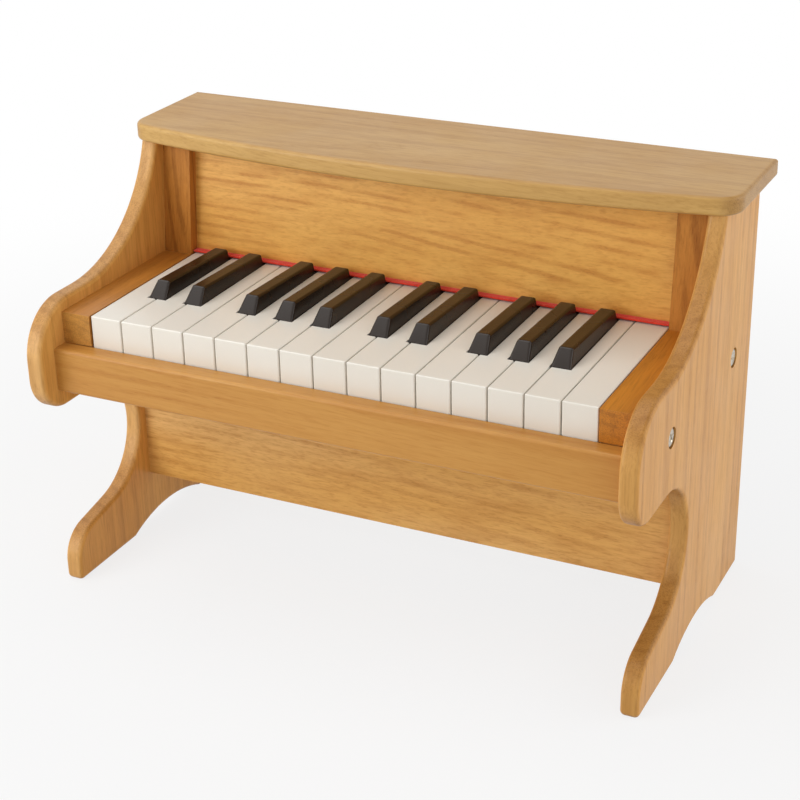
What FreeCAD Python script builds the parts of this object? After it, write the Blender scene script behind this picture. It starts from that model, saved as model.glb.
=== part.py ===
import FreeCAD
import Part
import Sketcher
import math
import os
import re

# Toy piano: a small wooden upright of two octaves. Every key is a lever on one steel rod under the
# fallboard, and its tail carries a hammer that strikes a hanging steel tone rod.
# Frame: X along the keyboard, -Y towards the player, +Z up. The origin is on the floor, under the middle.
# Lengths are in millimetres and angles in degrees. A setback is measured back from the front of the feet.

# Counts
WHITE_KEYS = 15
SEMITONES = 25
OCTAVE = 12
SHARPS = (1, 3, 6, 8, 10)
CENTRE_SEMITONE = SEMITONES // 2

# Driving sizes: name, value, meaning
SIZES = (
    ("key_pitch", 23.0, "white key to white key"),
    ("key_gap", 0.8, "between two white keys"),
    ("key_side_gap", 0.5, "keyboard to key block"),
    ("lever_thick", 12.0, "height of a key lever"),
    ("key_space", 8.9, "key bed to the underside of the levers"),
    ("key_dip", 7.5, "travel of a white key at its front"),
    ("key_round", 0.8, "round on the edges of the white keys"),
    ("apron_thick", 8.0, "front lip of a white key"),
    ("apron_cover", 3.0, "how far the lip reaches below the top of the key slip"),
    ("sharp_setback", 52.5, "front of the black keys"),
    ("sharp_width", 13.0, "black key at its foot"),
    ("sharp_top_width", 9.0, "black key at its top"),
    ("sharp_height", 10.0, "black key above the white ones"),
    ("sharp_rake", 8.5, "how far the front of a black key leans back"),
    ("sharp_round", 1.8, "round on the edges of the black keys"),
    ("sharp_gap", 0.6, "black key to white key, sideways"),
    ("sharp_front_gap", 0.8, "black key to white key, in front"),
    ("sharp_end_gap", 4.2, "cap of a black key to the felt behind it"),
    ("lever_end_gap", 2.5, "front part of a lever to the face of the fallboard"),
    ("tail_width", 6.0, "lever behind the fallboard"),
    ("tail_shift", -1.6, "middle of the row of tails from the middle of the keyboard"),
    ("tail_overlap", 6.0, "tail lapped into the front of its lever"),
    ("pivot_inset", 9.0, "pivot rod behind the face of the fallboard"),
    ("pivot_drop", 7.0, "pivot rod below the key tops"),
    ("rod_diameter", 4.0, "pivot rod"),
    ("rod_clearance", 0.05, "running fit of the rod in its holes, on the radius"),
    ("rod_seat", 10.0, "depth of the rod in each key block"),
    ("panel_thick", 12.0, "side panel"),
    ("panel_depth", 207.0, "front of the feet to the back edge of a side panel"),
    ("panel_round", 3.0, "round on the edges of a side panel"),
    ("nose_reach", 18.0, "arm nose in front of the feet"),
    ("arm_rise", 8.6, "arm above the key tops"),
    ("arm_cover", 13.0, "arm below the key slip"),
    ("nose_top_radius", 36.0, "upper round of the arm nose"),
    ("nose_bottom_radius", 24.0, "lower round of the arm nose"),
    ("sweep_radius", 100.0, "hollow sweep from the arm up to the lid"),
    ("sweep_setback", 36.0, "foot of the sweep"),
    ("notch_setback", 38.0, "centre of the hollow between arm and foot"),
    ("foot_height", 41.0, "lowest point of that hollow"),
    ("foot_slope", 11.3, "fall of the foot towards its toe"),
    ("toe_radius", 24.0, "upper round of the toe"),
    ("toe_round", 4.0, "lower round of the toe"),
    ("arch_setback", 68.0, "start of the arch under a side panel"),
    ("arch_width", 87.0, "width of the arch"),
    ("arch_rise", 9.0, "height of the arch"),
    ("case_height", 287.0, "floor to the top of the lid"),
    ("lid_thick", 12.0, "lid"),
    ("lid_depth", 107.0, "back edge of the lid to the crown of its bowed front"),
    ("lid_side_overhang", 7.0, "lid beyond a side panel"),
    ("lid_back_overhang", 10.0, "lid beyond the back"),
    ("lid_bow_radius", 1120.0, "bow of the front edge of the lid"),
    ("lid_corner_radius", 16.0, "front corners of the lid"),
    ("lid_round", 2.5, "round on the edges of the lid"),
    ("upper_height", 78.6, "key tops to the lid"),
    ("bed_thick", 12.0, "key bed"),
    ("lip_clearance", 2.5, "lip of a white key to the key bed behind it"),
    ("slip_reach", 3.0, "key slip in front of the feet"),
    ("slip_thick", 12.0, "key slip"),
    ("slip_height", 30.0, "key slip"),
    ("slip_drop", 0.5, "top of the key slip below the key bed"),
    ("slip_round", 2.0, "round on the front edges of the key slip"),
    ("slip_gap", 1.0, "key slip to white keys"),
    ("block_width", 21.0, "key block at each end of the keyboard"),
    ("kick_setback", 91.5, "face of the kick panel"),
    ("kick_thick", 10.0, "kick panel"),
    ("kick_bottom", 41.0, "height of the lower edge of the kick panel"),
    ("action_depth", 66.0, "face of the fallboard, at the level of the keys, to the back of the case"),
    ("fallboard_thick", 8.0, "fallboard"),
    ("fallboard_lean", 5.5, "lean of the fallboard"),
    ("batten_depth", 8.0, "corner batten in front of the fallboard"),
    ("felt_height", 1.2, "felt under the fallboard"),
    ("felt_reach", 5.4, "that felt in front of the fallboard"),
    ("felt_gap", 0.8, "key tops to that felt"),
    ("felt_side_gap", 0.2, "felts to the key blocks"),
    ("back_thick", 4.0, "back panel"),
    ("rail_width", 12.0, "top rail under the back of the lid, front to back"),
    ("rail_height", 12.0, "top rail"),
    ("comb_base", 6.0, "base of the pivot comb"),
    ("comb_front", 8.0, "base of the comb in front of the pivot rod"),
    ("comb_clearance", 0.5, "comb tooth to key tail"),
    ("comb_ear_radius", 5.0, "head of a comb tooth"),
    ("felt_strip_width", 10.0, "stop felt and rest felt"),
    ("stop_gap", 18.0, "stop felt to the finger tips of the return spring"),
    ("touch_gap", 0.3, "lever to felt where it comes to rest"),
    ("spring_inset", 22.0, "back of the return spring to the pivot rod"),
    ("spring_strip", 12.0, "fixed strip of the return spring"),
    ("spring_reach", 32.0, "finger of the return spring"),
    ("spring_width", 4.0, "finger of the return spring"),
    ("spring_thick", 0.5, "spring steel"),
    ("spring_gap", 0.2, "finger tip to lever"),
    ("tone_block_height", 12.0, "tone block"),
    ("tone_block_depth", 14.0, "tone block"),
    ("tone_block_gap", 1.4, "fallboard to tone block"),
    ("tone_block_end", 8.0, "tone block beyond its last rod"),
    ("tone_rod_diameter", 2.5, "tone rod"),
    ("tone_rod_room", 8.6, "lowest tone rod to the level of the key tops"),
    ("tone_rod_seat", 8.0, "tone rod inside the block"),
    ("tone_rod_inset", 5.0, "tone rods behind the face of the block"),
    ("tone_screw_inset", 4.0, "screws in front of the back of the block"),
    ("strike_drop", 17.0, "block to the middle of a hammer head"),
    ("strike_clearance", 0.4, "hammer to rod with the key down"),
    ("hammer_head", 10.0, "height of a hammer head"),
    ("hammer_neck", 1.0, "round of the hammer head to its stem"),
    ("hammer_stem", 6.0, "hammer stem, front to back"),
    ("bolt_diameter", 6.0, "case bolt"),
    ("bolt_length", 42.0, "case bolt under its head"),
    ("bolt_head_diameter", 12.5, "head of a case bolt"),
    ("bolt_head_thick", 2.5, "head of a case bolt"),
    ("bolt_recess", 0.6, "bolt head below the face of the panel"),
    ("bolt_clearance", 0.4, "holes round the case bolts, on the radius"),
    ("front_bolt_setback", 42.0, "front case bolts"),
    ("rear_bolt_inset", 40.0, "rear case bolts from the back of the case"),
    ("nut_diameter", 10.0, "barrel nut"),
    ("nut_length", 9.0, "barrel nut"),
    ("nut_inset", 26.0, "barrel nut from the end of the key bed"),
    ("nut_clearance", 0.1, "fits of the barrel nut, on the radius"),
    ("screw_diameter", 3.0, "wood screw"),
    ("screw_head_diameter", 6.0, "head of a wood screw"),
    ("screw_head_thick", 2.0, "head of a wood screw"),
    ("screw_bite", 8.0, "wood screw in the second board"),
    ("screw_clearance", 0.05, "holes round the wood screws, on the radius"),
    ("back_screw_spread", 150.0, "outer screws of the back panel from the middle"),
    ("lid_screw_spread", 90.0, "screws of the top rail from the middle"),
)
SIZE_NAMES = {name for name, number, meaning in SIZES}

# Places and sizes that follow from the driving ones
DERIVED = {
    "keyboard_half": f"{WHITE_KEYS} / 2 * key_pitch",
    "tail_pitch": f"7 / {OCTAVE} * key_pitch",
    "block_inner": "keyboard_half + key_side_gap",
    "inside_half": "block_inner + block_width",
    "case_half": "inside_half + panel_thick",
    "foot_front": "(nose_reach - panel_depth - lid_back_overhang) / 2",
    "nose_front": "foot_front - nose_reach",
    "panel_back": "foot_front + panel_depth",
    "panel_height": "case_height - lid_thick",
    "key_top": "panel_height - upper_height",
    "lever_bottom": "key_top - lever_thick",
    "bed_top": "lever_bottom - key_space",
    "arm_top": "key_top + arm_rise",
    "arm_underside": "slip_bottom - arm_cover",
    "sweep_y": "foot_front + sweep_setback",
    "sweep_rise": "arm_top + sweep_radius - panel_height",
    "sweep_top_y": "sweep_y + sqrt(sweep_radius ^ 2 - sweep_rise ^ 2)",
    "notch_radius": "(arm_underside - foot_height) / 2",
    "notch_y": "foot_front + notch_setback",
    "notch_end_y": "notch_y + notch_radius * sin(foot_slope)",
    "notch_end_z": "arm_underside - notch_radius * (1 + cos(foot_slope))",
    "toe_y": "foot_front + toe_radius",
    "toe_z": "notch_end_z - tan(foot_slope) * (notch_end_y - toe_y) - toe_radius / cos(foot_slope)",
    "arch_y": "foot_front + arch_setback",
    "arch_radius": "(arch_width ^ 2 / 4 + arch_rise ^ 2) / (2 * arch_rise)",
    "lid_half": "case_half + lid_side_overhang",
    "lid_back": "panel_back + lid_back_overhang",
    "bow_y": "lid_back - lid_depth + lid_bow_radius",
    "corner_x": "lid_half - lid_corner_radius",
    "bow_less": "lid_bow_radius - lid_corner_radius",
    "corner_fall": "sqrt(bow_less ^ 2 - corner_x ^ 2)",
    "bow_end_x": "corner_x * lid_bow_radius / bow_less",
    "bow_end_y": "bow_y - corner_fall * lid_bow_radius / bow_less",
    "bed_bottom": "bed_top - bed_thick",
    "bed_middle": "bed_top - bed_thick / 2",
    "bed_front": "key_front + apron_thick + lip_clearance",
    "back_face": "panel_back - back_thick",
    "slip_front": "foot_front - slip_reach",
    "slip_back": "slip_front + slip_thick",
    "slip_top": "bed_top - slip_drop",
    "slip_bottom": "slip_top - slip_height",
    "kick_front": "foot_front + kick_setback",
    "key_front": "slip_back + slip_gap",
    "apron_bottom": "slip_top - apron_cover",
    "fallboard_y": "panel_back - action_depth",
    "fallboard_bottom": "key_top + felt_gap + felt_height",
    "fallboard_run": "fallboard_thick / cos(fallboard_lean)",
    "batten_run": "batten_depth / cos(fallboard_lean)",
    "lean_to_felt": "fallboard_y + (fallboard_bottom - key_top) * tan(fallboard_lean)",
    "lean_to_lid": "fallboard_y + (panel_height - key_top) * tan(fallboard_lean)",
    "sharp_front": "foot_front + sharp_setback",
    "felt_front": "lean_to_felt - felt_reach",
    "cap_end": "felt_front - sharp_end_gap",
    "lever_end": "fallboard_y - lever_end_gap",
    "pivot_y": "fallboard_y + pivot_inset",
    "pivot_z": "key_top - pivot_drop",
    "dip_sine": "key_dip / (pivot_y - key_front)",
    "rod_hole": "rod_diameter + 2 * rod_clearance",
    "tone_front": "lean_to_lid + fallboard_run + tone_block_gap",
    "tone_bottom": "panel_height - tone_block_height",
    "tone_rod_y": "tone_front + tone_rod_inset",
    "tone_screw_y": "tone_front + tone_block_depth - tone_screw_inset",
    "tone_rod_longest": "tone_bottom - key_top - tone_rod_room",
    "strike_z": "tone_bottom - strike_drop",
    "hammer_radius": "hammer_head / 2",
    "hammer_top": "strike_z + hammer_radius",
    "hammer_swing": "(hammer_top - pivot_z) * dip_sine",
    "hammer_face": "tone_rod_y + tone_rod_diameter / 2 + strike_clearance + hammer_swing",
    "stem_front": "hammer_face + hammer_radius + hammer_neck",
    "tail_end": "stem_front + hammer_stem",
    "comb_top": "bed_top + comb_base",
    "comb_tooth": "tail_pitch - tail_width - 2 * comb_clearance",
    "stop_front": "spring_tip - stop_gap - felt_strip_width",
    "stop_top": "lever_bottom - (pivot_y - stop_front) * dip_sine - touch_gap",
    "rest_back": "tail_end - hammer_stem / 2",
    "spring_back": "pivot_y - spring_inset",
    "spring_front": "spring_back - spring_strip",
    "spring_tip": "spring_front - spring_reach",
    "bolt_hole": "bolt_diameter + 2 * bolt_clearance",
    "bolt_well": "bolt_head_diameter + 2 * bolt_clearance",
    "bolt_well_depth": "bolt_recess + bolt_head_thick",
    "bolt_seat": "case_half - bolt_well_depth",
    "front_bolt_y": "foot_front + front_bolt_setback",
    "rear_bolt_y": "panel_back - rear_bolt_inset",
    "bolt_end": "bolt_seat - bolt_length",
    "nut_x": "inside_half - nut_inset",
    "nut_hole": "nut_diameter + 2 * nut_clearance",
    "screw_hole": "screw_diameter + 2 * screw_clearance",
    "rail_front": "back_face - rail_width",
    "rail_middle": "back_face - rail_width / 2",
    "rail_bottom": "panel_height - rail_height",
    "back_screw_top": "panel_height - rail_height / 2",
}

# Bends of an outline edge
FULL = 1
HOLLOW = -1

# Sketch planes: role, the way that a pocket cuts by itself
FLOOR = ("XY_Plane", -1)
SIDE = ("YZ_Plane", -1)
FRONT = ("XZ_Plane", 1)

doc = FreeCAD.newDocument("toy_piano")
sheet = doc.addObject("Spreadsheet::Sheet", "sizes")
pieces = []


def terms(text):
    """Expression in which derived names are written out and each size points to its cell."""

    def expand(match):
        word = match.group()
        if word in DERIVED:
            return f"({terms(DERIVED[word])})"
        if word in SIZE_NAMES:
            return f"sizes.{word}"
        return word

    return re.sub(r"[a-z][a-z0-9_]*", expand, text)


def value(text):
    """Number that an expression gives with the sheet as it stands."""
    return float(sheet.evalExpression(terms(text)))


def bind(item, prop, text):
    """Ties a property of an object to an expression."""
    item.setExpression(prop, terms(text))


def fill_sheet():
    """Writes the driving sizes to the sheet, one row each."""
    for row, (name, number, meaning) in enumerate(SIZES, start=1):
        sheet.set(f"A{row}", meaning)
        sheet.set(f"B{row}", str(number))
        sheet.setAlias(f"B{row}", name)
    doc.recompute()


def keep(item, label):
    """Names a finished piece and lists it for the export."""
    item.Label = label
    pieces.append(item)
    return item


def origin_feature(body, role):
    """Plane or axis of a body's own origin."""
    return next(item for item in body.Origin.OriginFeatures if item.Role == role)


def new_body(label, x="0"):
    """Empty body, moved sideways to x."""
    body = doc.addObject("PartDesign::Body", label)
    bind(body, "Placement.Base.x", x)
    return keep(body, label)


def new_sketch(body, name, plane, level="0"):
    """Sketch on a plane of the body's origin, raised to level along the plane's own axis."""
    sketch = body.newObject("Sketcher::SketchObject", f"{body.Name}_{name}")
    sketch.AttachmentSupport = [(origin_feature(body, plane[0]), "")]
    sketch.MapMode = "FlatFace"
    # The normal of the front plane points towards the player, against +Y
    sign = "-" if plane is FRONT else ""
    bind(sketch, "AttachmentOffset.Base.z", f"{sign}({level})")
    return sketch


def place_point(sketch, edge, end, corner):
    """Holds one end of an edge at a pair of expressions."""
    for kind, text in zip(("DistanceX", "DistanceY"), corner):
        constraint = Sketcher.Constraint(kind, -1, 1, edge, end, value(text))
        index = sketch.addConstraint(constraint)
        bind(sketch, f"Constraints[{index}]", text)


def bend_edge(start, end, radius, sense):
    """Arc from start to end, less than a half turn, and which of its ends comes first."""
    chord = end - start
    left = FreeCAD.Vector(-chord.y, chord.x, 0).normalize()
    rise = math.sqrt(max(radius ** 2 - chord.Length ** 2 / 4, 0))
    centre = start + chord * 0.5 + left * (rise * sense)
    circle = Part.Circle(centre, FreeCAD.Vector(0, 0, 1), radius)
    first, last = (start, end) if sense == FULL else (end, start)
    arc = Part.ArcOfCircle(circle, circle.parameter(first), circle.parameter(last))
    return arc, (1, 2) if sense == FULL else (2, 1)


def outline(sketch, corners, bends=None):
    """Closed outline, counter-clockwise; bends gives radius and sense of the edges that are arcs."""
    bends = bends or {}
    points = [FreeCAD.Vector(value(a), value(b), 0) for a, b in corners]
    ends = {}
    for index, start in enumerate(points):
        end = points[(index + 1) % len(points)]
        if index in bends:
            radius, sense = bends[index]
            edge, order = bend_edge(start, end, value(radius), sense)
        else:
            edge, order = Part.LineSegment(start, end), (1, 2)
        ends[index] = (sketch.addGeometry(edge), *order)
    for index, corner in enumerate(corners):
        edge, first, last = ends[index]
        following = ends[(index + 1) % len(corners)]
        sketch.addConstraint(Sketcher.Constraint("Coincident", edge, last, following[0], following[1]))
        place_point(sketch, edge, first, corner)
    for index, (radius, sense) in bends.items():
        edge = ends[index][0]
        number = sketch.addConstraint(Sketcher.Constraint("Radius", edge, value(radius)))
        bind(sketch, f"Constraints[{number}]", radius)


def circle_at(sketch, centre, diameter):
    """Circle of a sketch at a pair of expressions."""
    place = FreeCAD.Vector(value(centre[0]), value(centre[1]), 0)
    edge = sketch.addGeometry(Part.Circle(place, FreeCAD.Vector(0, 0, 1), value(diameter) / 2))
    number = sketch.addConstraint(Sketcher.Constraint("Diameter", edge, value(diameter)))
    bind(sketch, f"Constraints[{number}]", diameter)
    place_point(sketch, edge, 3, centre)


def rectangle(x0, x1, y0, y1):
    """Corners of a rectangle, counter-clockwise."""
    return [(x0, y0), (x1, y0), (x1, y1), (x0, y1)]


def pad(body, name, sketch, length, back=False):
    """Solid of a sketch raised by length along the normal, or against it."""
    feature = body.newObject("PartDesign::Pad", f"{body.Name}_{name}")
    feature.Profile = sketch
    bind(feature, "Length", length)
    feature.Reversed = back
    body.Tip = feature
    return feature


def drill(body, name, plane, level, spots, diameter, depth, towards):
    """Round holes from a level of a plane, cut towards the plus or minus way of its axis."""
    sketch = new_sketch(body, f"{name}_spots", plane, level)
    for spot in spots:
        circle_at(sketch, spot, diameter)
    feature = body.newObject("PartDesign::Pocket", f"{body.Name}_{name}")
    feature.Profile = sketch
    bind(feature, "Length", depth)
    feature.Reversed = towards != plane[1]
    body.Tip = feature
    return feature


def repeat(body, name, feature, spacing, count):
    """Row of equal features along X."""
    pattern = body.newObject("PartDesign::LinearPattern", f"{body.Name}_{name}")
    pattern.Originals = [feature]
    pattern.Direction = (origin_feature(body, "X_Axis"), [""])
    pattern.Mode = "Spacing"
    bind(pattern, "Offset", spacing)
    pattern.Occurrences = count
    body.Tip = pattern
    return pattern


def round_edges(body, name, radius, wanted):
    """Fillet on the edges of the body that wanted accepts."""
    doc.recompute()
    base = body.Tip
    names = [f"Edge{i}" for i, edge in enumerate(base.Shape.Edges, start=1) if wanted(edge)]
    feature = body.newObject("PartDesign::Fillet", f"{body.Name}_{name}")
    feature.Base = (base, names)
    bind(feature, "Radius", radius)
    body.Tip = feature
    return feature


def lies_at(edge, axis, level):
    """Whether the whole edge lies at one level of an axis, 0, 1 or 2 for X, Y or Z."""
    box = edge.BoundBox
    low = (box.XMin, box.YMin, box.ZMin)[axis]
    high = (box.XMax, box.YMax, box.ZMax)[axis]
    near = 1e-3
    return abs(low - level) < near and abs(high - level) < near


def place(item, x, y, z):
    """Ties an object's position to three expressions."""
    for axis, text in zip("xyz", (x, y, z)):
        bind(item, f"Placement.Base.{axis}", text)


def board(label, x0, x1, y0, y1, z0, z1):
    """Plain board between pairs of expressions."""
    box = doc.addObject("Part::Box", label)
    bind(box, "Length", f"({x1}) - ({x0})")
    bind(box, "Width", f"({y1}) - ({y0})")
    bind(box, "Height", f"({z1}) - ({z0})")
    place(box, x0, y0, z0)
    return keep(box, label)


def slab(label, x0, x1, y0, y1, z0, z1):
    """Board as a body, for boards that are drilled."""
    body = new_body(label)
    sketch = new_sketch(body, "plan", FLOOR, z0)
    outline(sketch, rectangle(x0, x1, y0, y1))
    pad(body, "board", sketch, f"({z1}) - ({z0})")
    return body


def rod(name, diameter, length, x, y, z, direction):
    """Cylinder from a point along a direction."""
    cylinder = doc.addObject("Part::Cylinder", name)
    bind(cylinder, "Radius", f"({diameter}) / 2")
    bind(cylinder, "Height", length)
    turn = FreeCAD.Rotation(FreeCAD.Vector(0, 0, 1), FreeCAD.Vector(*direction))
    cylinder.Placement = FreeCAD.Placement(FreeCAD.Vector(), turn)
    place(cylinder, x, y, z)
    return cylinder


def join(name, first, second):
    """Two solids made one."""
    whole = doc.addObject("Part::Fuse", name)
    whole.Base = first
    whole.Tool = second
    return whole


def group(label, items):
    """Equal loose pieces kept together under one name."""
    compound = doc.addObject("Part::Compound", label)
    compound.Links = items
    return keep(compound, label)


def moved(place_text, offset, direction):
    """Coordinate that lies offset further along one axis of a direction."""
    return f"({place_text}) + ({offset}) * ({direction})"


def headed(name, sizes, at, direction):
    """Bolt or screw whose head's seat is at a point and whose shank runs along a direction."""
    diameter, length, head_diameter, head_thick = sizes
    shank = rod(f"{name}_shank", diameter, length, *at, direction)
    away = [moved(text, f"-({head_thick})", step) for text, step in zip(at, direction)]
    head = rod(f"{name}_head", head_diameter, head_thick, *away, direction)
    return join(name, shank, head)


def tail_centre(semitone):
    """Middle of a key tail, of its hammer and of its tone rod."""
    return f"tail_shift + ({semitone - CENTRE_SEMITONE}) * tail_pitch"


def is_sharp(semitone):
    """Whether a semitone of the keyboard is a black key."""
    return semitone % OCTAVE in SHARPS and 0 <= semitone < SEMITONES


def bolt_spots():
    """Places of the two case bolts of a side."""
    return [("front_bolt_y", "bed_middle"), ("rear_bolt_y", "bed_middle")]


def side_panel(label, side):
    """Sawn side: swept front, rounded arm, hollow above the foot, arch between the feet."""
    left_face = "case_half - panel_thick" if side > 0 else "-(case_half)"
    body = new_body(label, left_face)
    profile = new_sketch(body, "profile", SIDE)
    corners = [
        ("foot_front + toe_round", "0"),
        ("arch_y", "0"),
        ("arch_y + arch_width", "0"),
        ("panel_back", "0"),
        ("panel_back", "panel_height"),
        ("sweep_top_y", "panel_height"),
        ("sweep_y", "arm_top"),
        ("nose_front + nose_top_radius", "arm_top"),
        ("nose_front", "arm_top - nose_top_radius"),
        ("nose_front", "arm_underside + nose_bottom_radius"),
        ("nose_front + nose_bottom_radius", "arm_underside"),
        ("notch_y", "arm_underside"),
        ("notch_end_y", "notch_end_z"),
        ("toe_y - toe_radius * sin(foot_slope)", "toe_z + toe_radius * cos(foot_slope)"),
        ("foot_front", "toe_z"),
        ("foot_front", "toe_round"),
    ]
    bends = {
        1: ("arch_radius", HOLLOW),
        5: ("sweep_radius", HOLLOW),
        7: ("nose_top_radius", FULL),
        9: ("nose_bottom_radius", FULL),
        11: ("notch_radius", HOLLOW),
        13: ("toe_radius", FULL),
        15: ("toe_round", FULL),
    }
    outline(profile, corners, bends)
    pad(body, "board", profile, "panel_thick")
    thick = value("panel_thick")
    top = value("panel_height")

    def on_a_face(edge):
        return (lies_at(edge, 0, 0) or lies_at(edge, 0, thick)) and not lies_at(edge, 2, top)

    round_edges(body, "rounds", "panel_round", on_a_face)
    outer_face = "panel_thick" if side > 0 else "0"
    drill(body, "bolt_holes", SIDE, outer_face, bolt_spots(), "bolt_hole", "panel_thick", -side)
    drill(body, "bolt_wells", SIDE, outer_face, bolt_spots(), "bolt_well", "bolt_well_depth", -side)


def lid():
    """Bow-fronted lid with rounded front corners."""
    body = new_body("lid")
    plan = new_sketch(body, "plan", FLOOR, "panel_height")
    corner_y = "bow_y - corner_fall"
    corners = [
        ("-(lid_half)", "lid_back"),
        ("-(lid_half)", corner_y),
        ("-(bow_end_x)", "bow_end_y"),
        ("bow_end_x", "bow_end_y"),
        ("lid_half", corner_y),
        ("lid_half", "lid_back"),
    ]
    bends = {
        1: ("lid_corner_radius", FULL),
        2: ("lid_bow_radius", FULL),
        3: ("lid_corner_radius", FULL),
    }
    outline(plan, corners, bends)
    pad(body, "board", plan, "lid_thick")
    top = value("case_height")
    bottom = value("panel_height")
    round_edges(body, "rounds", "lid_round", lambda edge: lies_at(edge, 2, top) or lies_at(edge, 2, bottom))
    drill(body, "rail_pilots", FLOOR, "panel_height", lid_screw_spots(), "screw_hole", "screw_bite", 1)
    drill(body, "tone_pilots", FLOOR, "panel_height", tone_screw_spots(), "screw_hole", "screw_bite", 1)


def fallboard():
    """Leaning board behind the keys, under the lid."""
    body = new_body("fallboard", "-(inside_half)")
    section = new_sketch(body, "section", SIDE)
    corners = [
        ("lean_to_felt", "fallboard_bottom"),
        ("lean_to_felt + fallboard_run", "fallboard_bottom"),
        ("lean_to_lid + fallboard_run", "panel_height"),
        ("lean_to_lid", "panel_height"),
    ]
    outline(section, corners)
    pad(body, "board", section, "2 * inside_half")


def corner_batten(label, side):
    """Upright batten in the corner of fallboard and side panel."""
    body = new_body(label, "block_inner" if side > 0 else "-(inside_half)")
    section = new_sketch(body, "section", SIDE)
    corners = [
        ("fallboard_y - batten_run", "key_top"),
        ("fallboard_y", "key_top"),
        ("lean_to_lid", "panel_height"),
        ("lean_to_lid - batten_run", "panel_height"),
    ]
    outline(section, corners)
    pad(body, "batten", section, "block_width")


def key_slip():
    """Rail in front of the keys, with rounded front edges."""
    body = new_body("key_slip", "-(inside_half)")
    section = new_sketch(body, "section", SIDE)
    corners = [
        ("slip_front + slip_round", "slip_bottom"),
        ("slip_back", "slip_bottom"),
        ("slip_back", "slip_top"),
        ("slip_front + slip_round", "slip_top"),
        ("slip_front", "slip_top - slip_round"),
        ("slip_front", "slip_bottom + slip_round"),
    ]
    bends = {3: ("slip_round", FULL), 5: ("slip_round", FULL)}
    outline(section, corners, bends)
    pad(body, "rail", section, "2 * inside_half")


def key_block(label, side):
    """Block between keyboard and side panel; it holds one end of the pivot rod."""
    body = new_body(label, "block_inner" if side > 0 else "-(inside_half)")
    section = new_sketch(body, "section", SIDE)
    outline(section, rectangle("slip_back", "pivot_y + comb_front", "bed_top", "key_top"))
    pad(body, "block", section, "block_width")
    inner_face = "0" if side > 0 else "block_width"
    drill(body, "rod_hole", SIDE, inner_face, [("pivot_y", "pivot_z")], "rod_hole", "rod_seat", side)


def key_bed():
    """Shelf under the keys, drilled for case bolts, barrel nuts and the screws of the back panel."""
    body = slab("key_bed", "-(inside_half)", "inside_half", "bed_front", "back_face", "bed_bottom", "bed_top")
    reach = "inside_half - bolt_end + bolt_clearance"
    drill(body, "right_bolts", SIDE, "inside_half", bolt_spots(), "bolt_hole", reach, -1)
    drill(body, "left_bolts", SIDE, "-(inside_half)", bolt_spots(), "bolt_hole", reach, 1)
    nut_spots = [(x, spot[0]) for spot in bolt_spots() for x in ("nut_x", "-(nut_x)")]
    nut_depth = "bed_thick / 2 + nut_length / 2"
    drill(body, "nut_holes", FLOOR, "bed_bottom", nut_spots, "nut_hole", nut_depth, 1)
    low_screws = [(x, "bed_middle") for x in back_screw_row()]
    drill(body, "screw_pilots", FRONT, "back_face", low_screws, "screw_hole", "screw_bite", -1)


def back_screw_row():
    """Places of the screws of the back panel along X."""
    return ["-(back_screw_spread)", "0", "back_screw_spread"]


def back_screw_spots():
    """Places of the screws of the back panel: one row in the key bed, one in the top rail."""
    return [(x, z) for z in ("bed_middle", "back_screw_top") for x in back_screw_row()]


def lid_screw_spots():
    """Places of the screws that hold the lid to the top rail."""
    return [("-(lid_screw_spread)", "rail_middle"), ("lid_screw_spread", "rail_middle")]


def tone_screw_spots():
    """Places of the screws of the tone block, each halfway between two rods."""
    return [(tail_centre(semitone + 0.5), "tone_screw_y") for semitone in (2, 9, 14, 21)]


def back_panel():
    """Thin panel that closes the back between the side panels."""
    sides = ("-(inside_half)", "inside_half")
    body = slab("back_panel", *sides, "back_face", "panel_back", "bed_bottom", "panel_height")
    drill(body, "screw_holes", FRONT, "panel_back", back_screw_spots(), "screw_hole", "back_thick", -1)


def top_rail():
    """Rail under the back of the lid, which holds lid and back panel together."""
    sides = ("-(inside_half)", "inside_half")
    body = slab("top_rail", *sides, "rail_front", "back_face", "rail_bottom", "panel_height")
    drill(body, "lid_screw_holes", FLOOR, "rail_bottom", lid_screw_spots(), "screw_hole", "rail_height", 1)
    high_screws = [(x, "back_screw_top") for x in back_screw_row()]
    drill(body, "back_pilots", FRONT, "back_face", high_screws, "screw_hole", "screw_bite", -1)


def felts():
    """Felt under and before the fallboard, stop felt under the levers and rest felt under the tails."""
    sides = ("-(block_inner) + felt_side_gap", "block_inner - felt_side_gap")
    back = "lean_to_felt + fallboard_run"
    board("fallboard_felt", *sides, "felt_front", back, "key_top + felt_gap", "fallboard_bottom")
    board("key_stop_felt", *sides, "stop_front", "stop_front + felt_strip_width", "bed_top", "stop_top")
    rest_front = "rest_back - felt_strip_width"
    board("key_rest_felt", *sides, rest_front, "rest_back", "comb_top", "lever_bottom - touch_gap")


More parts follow.
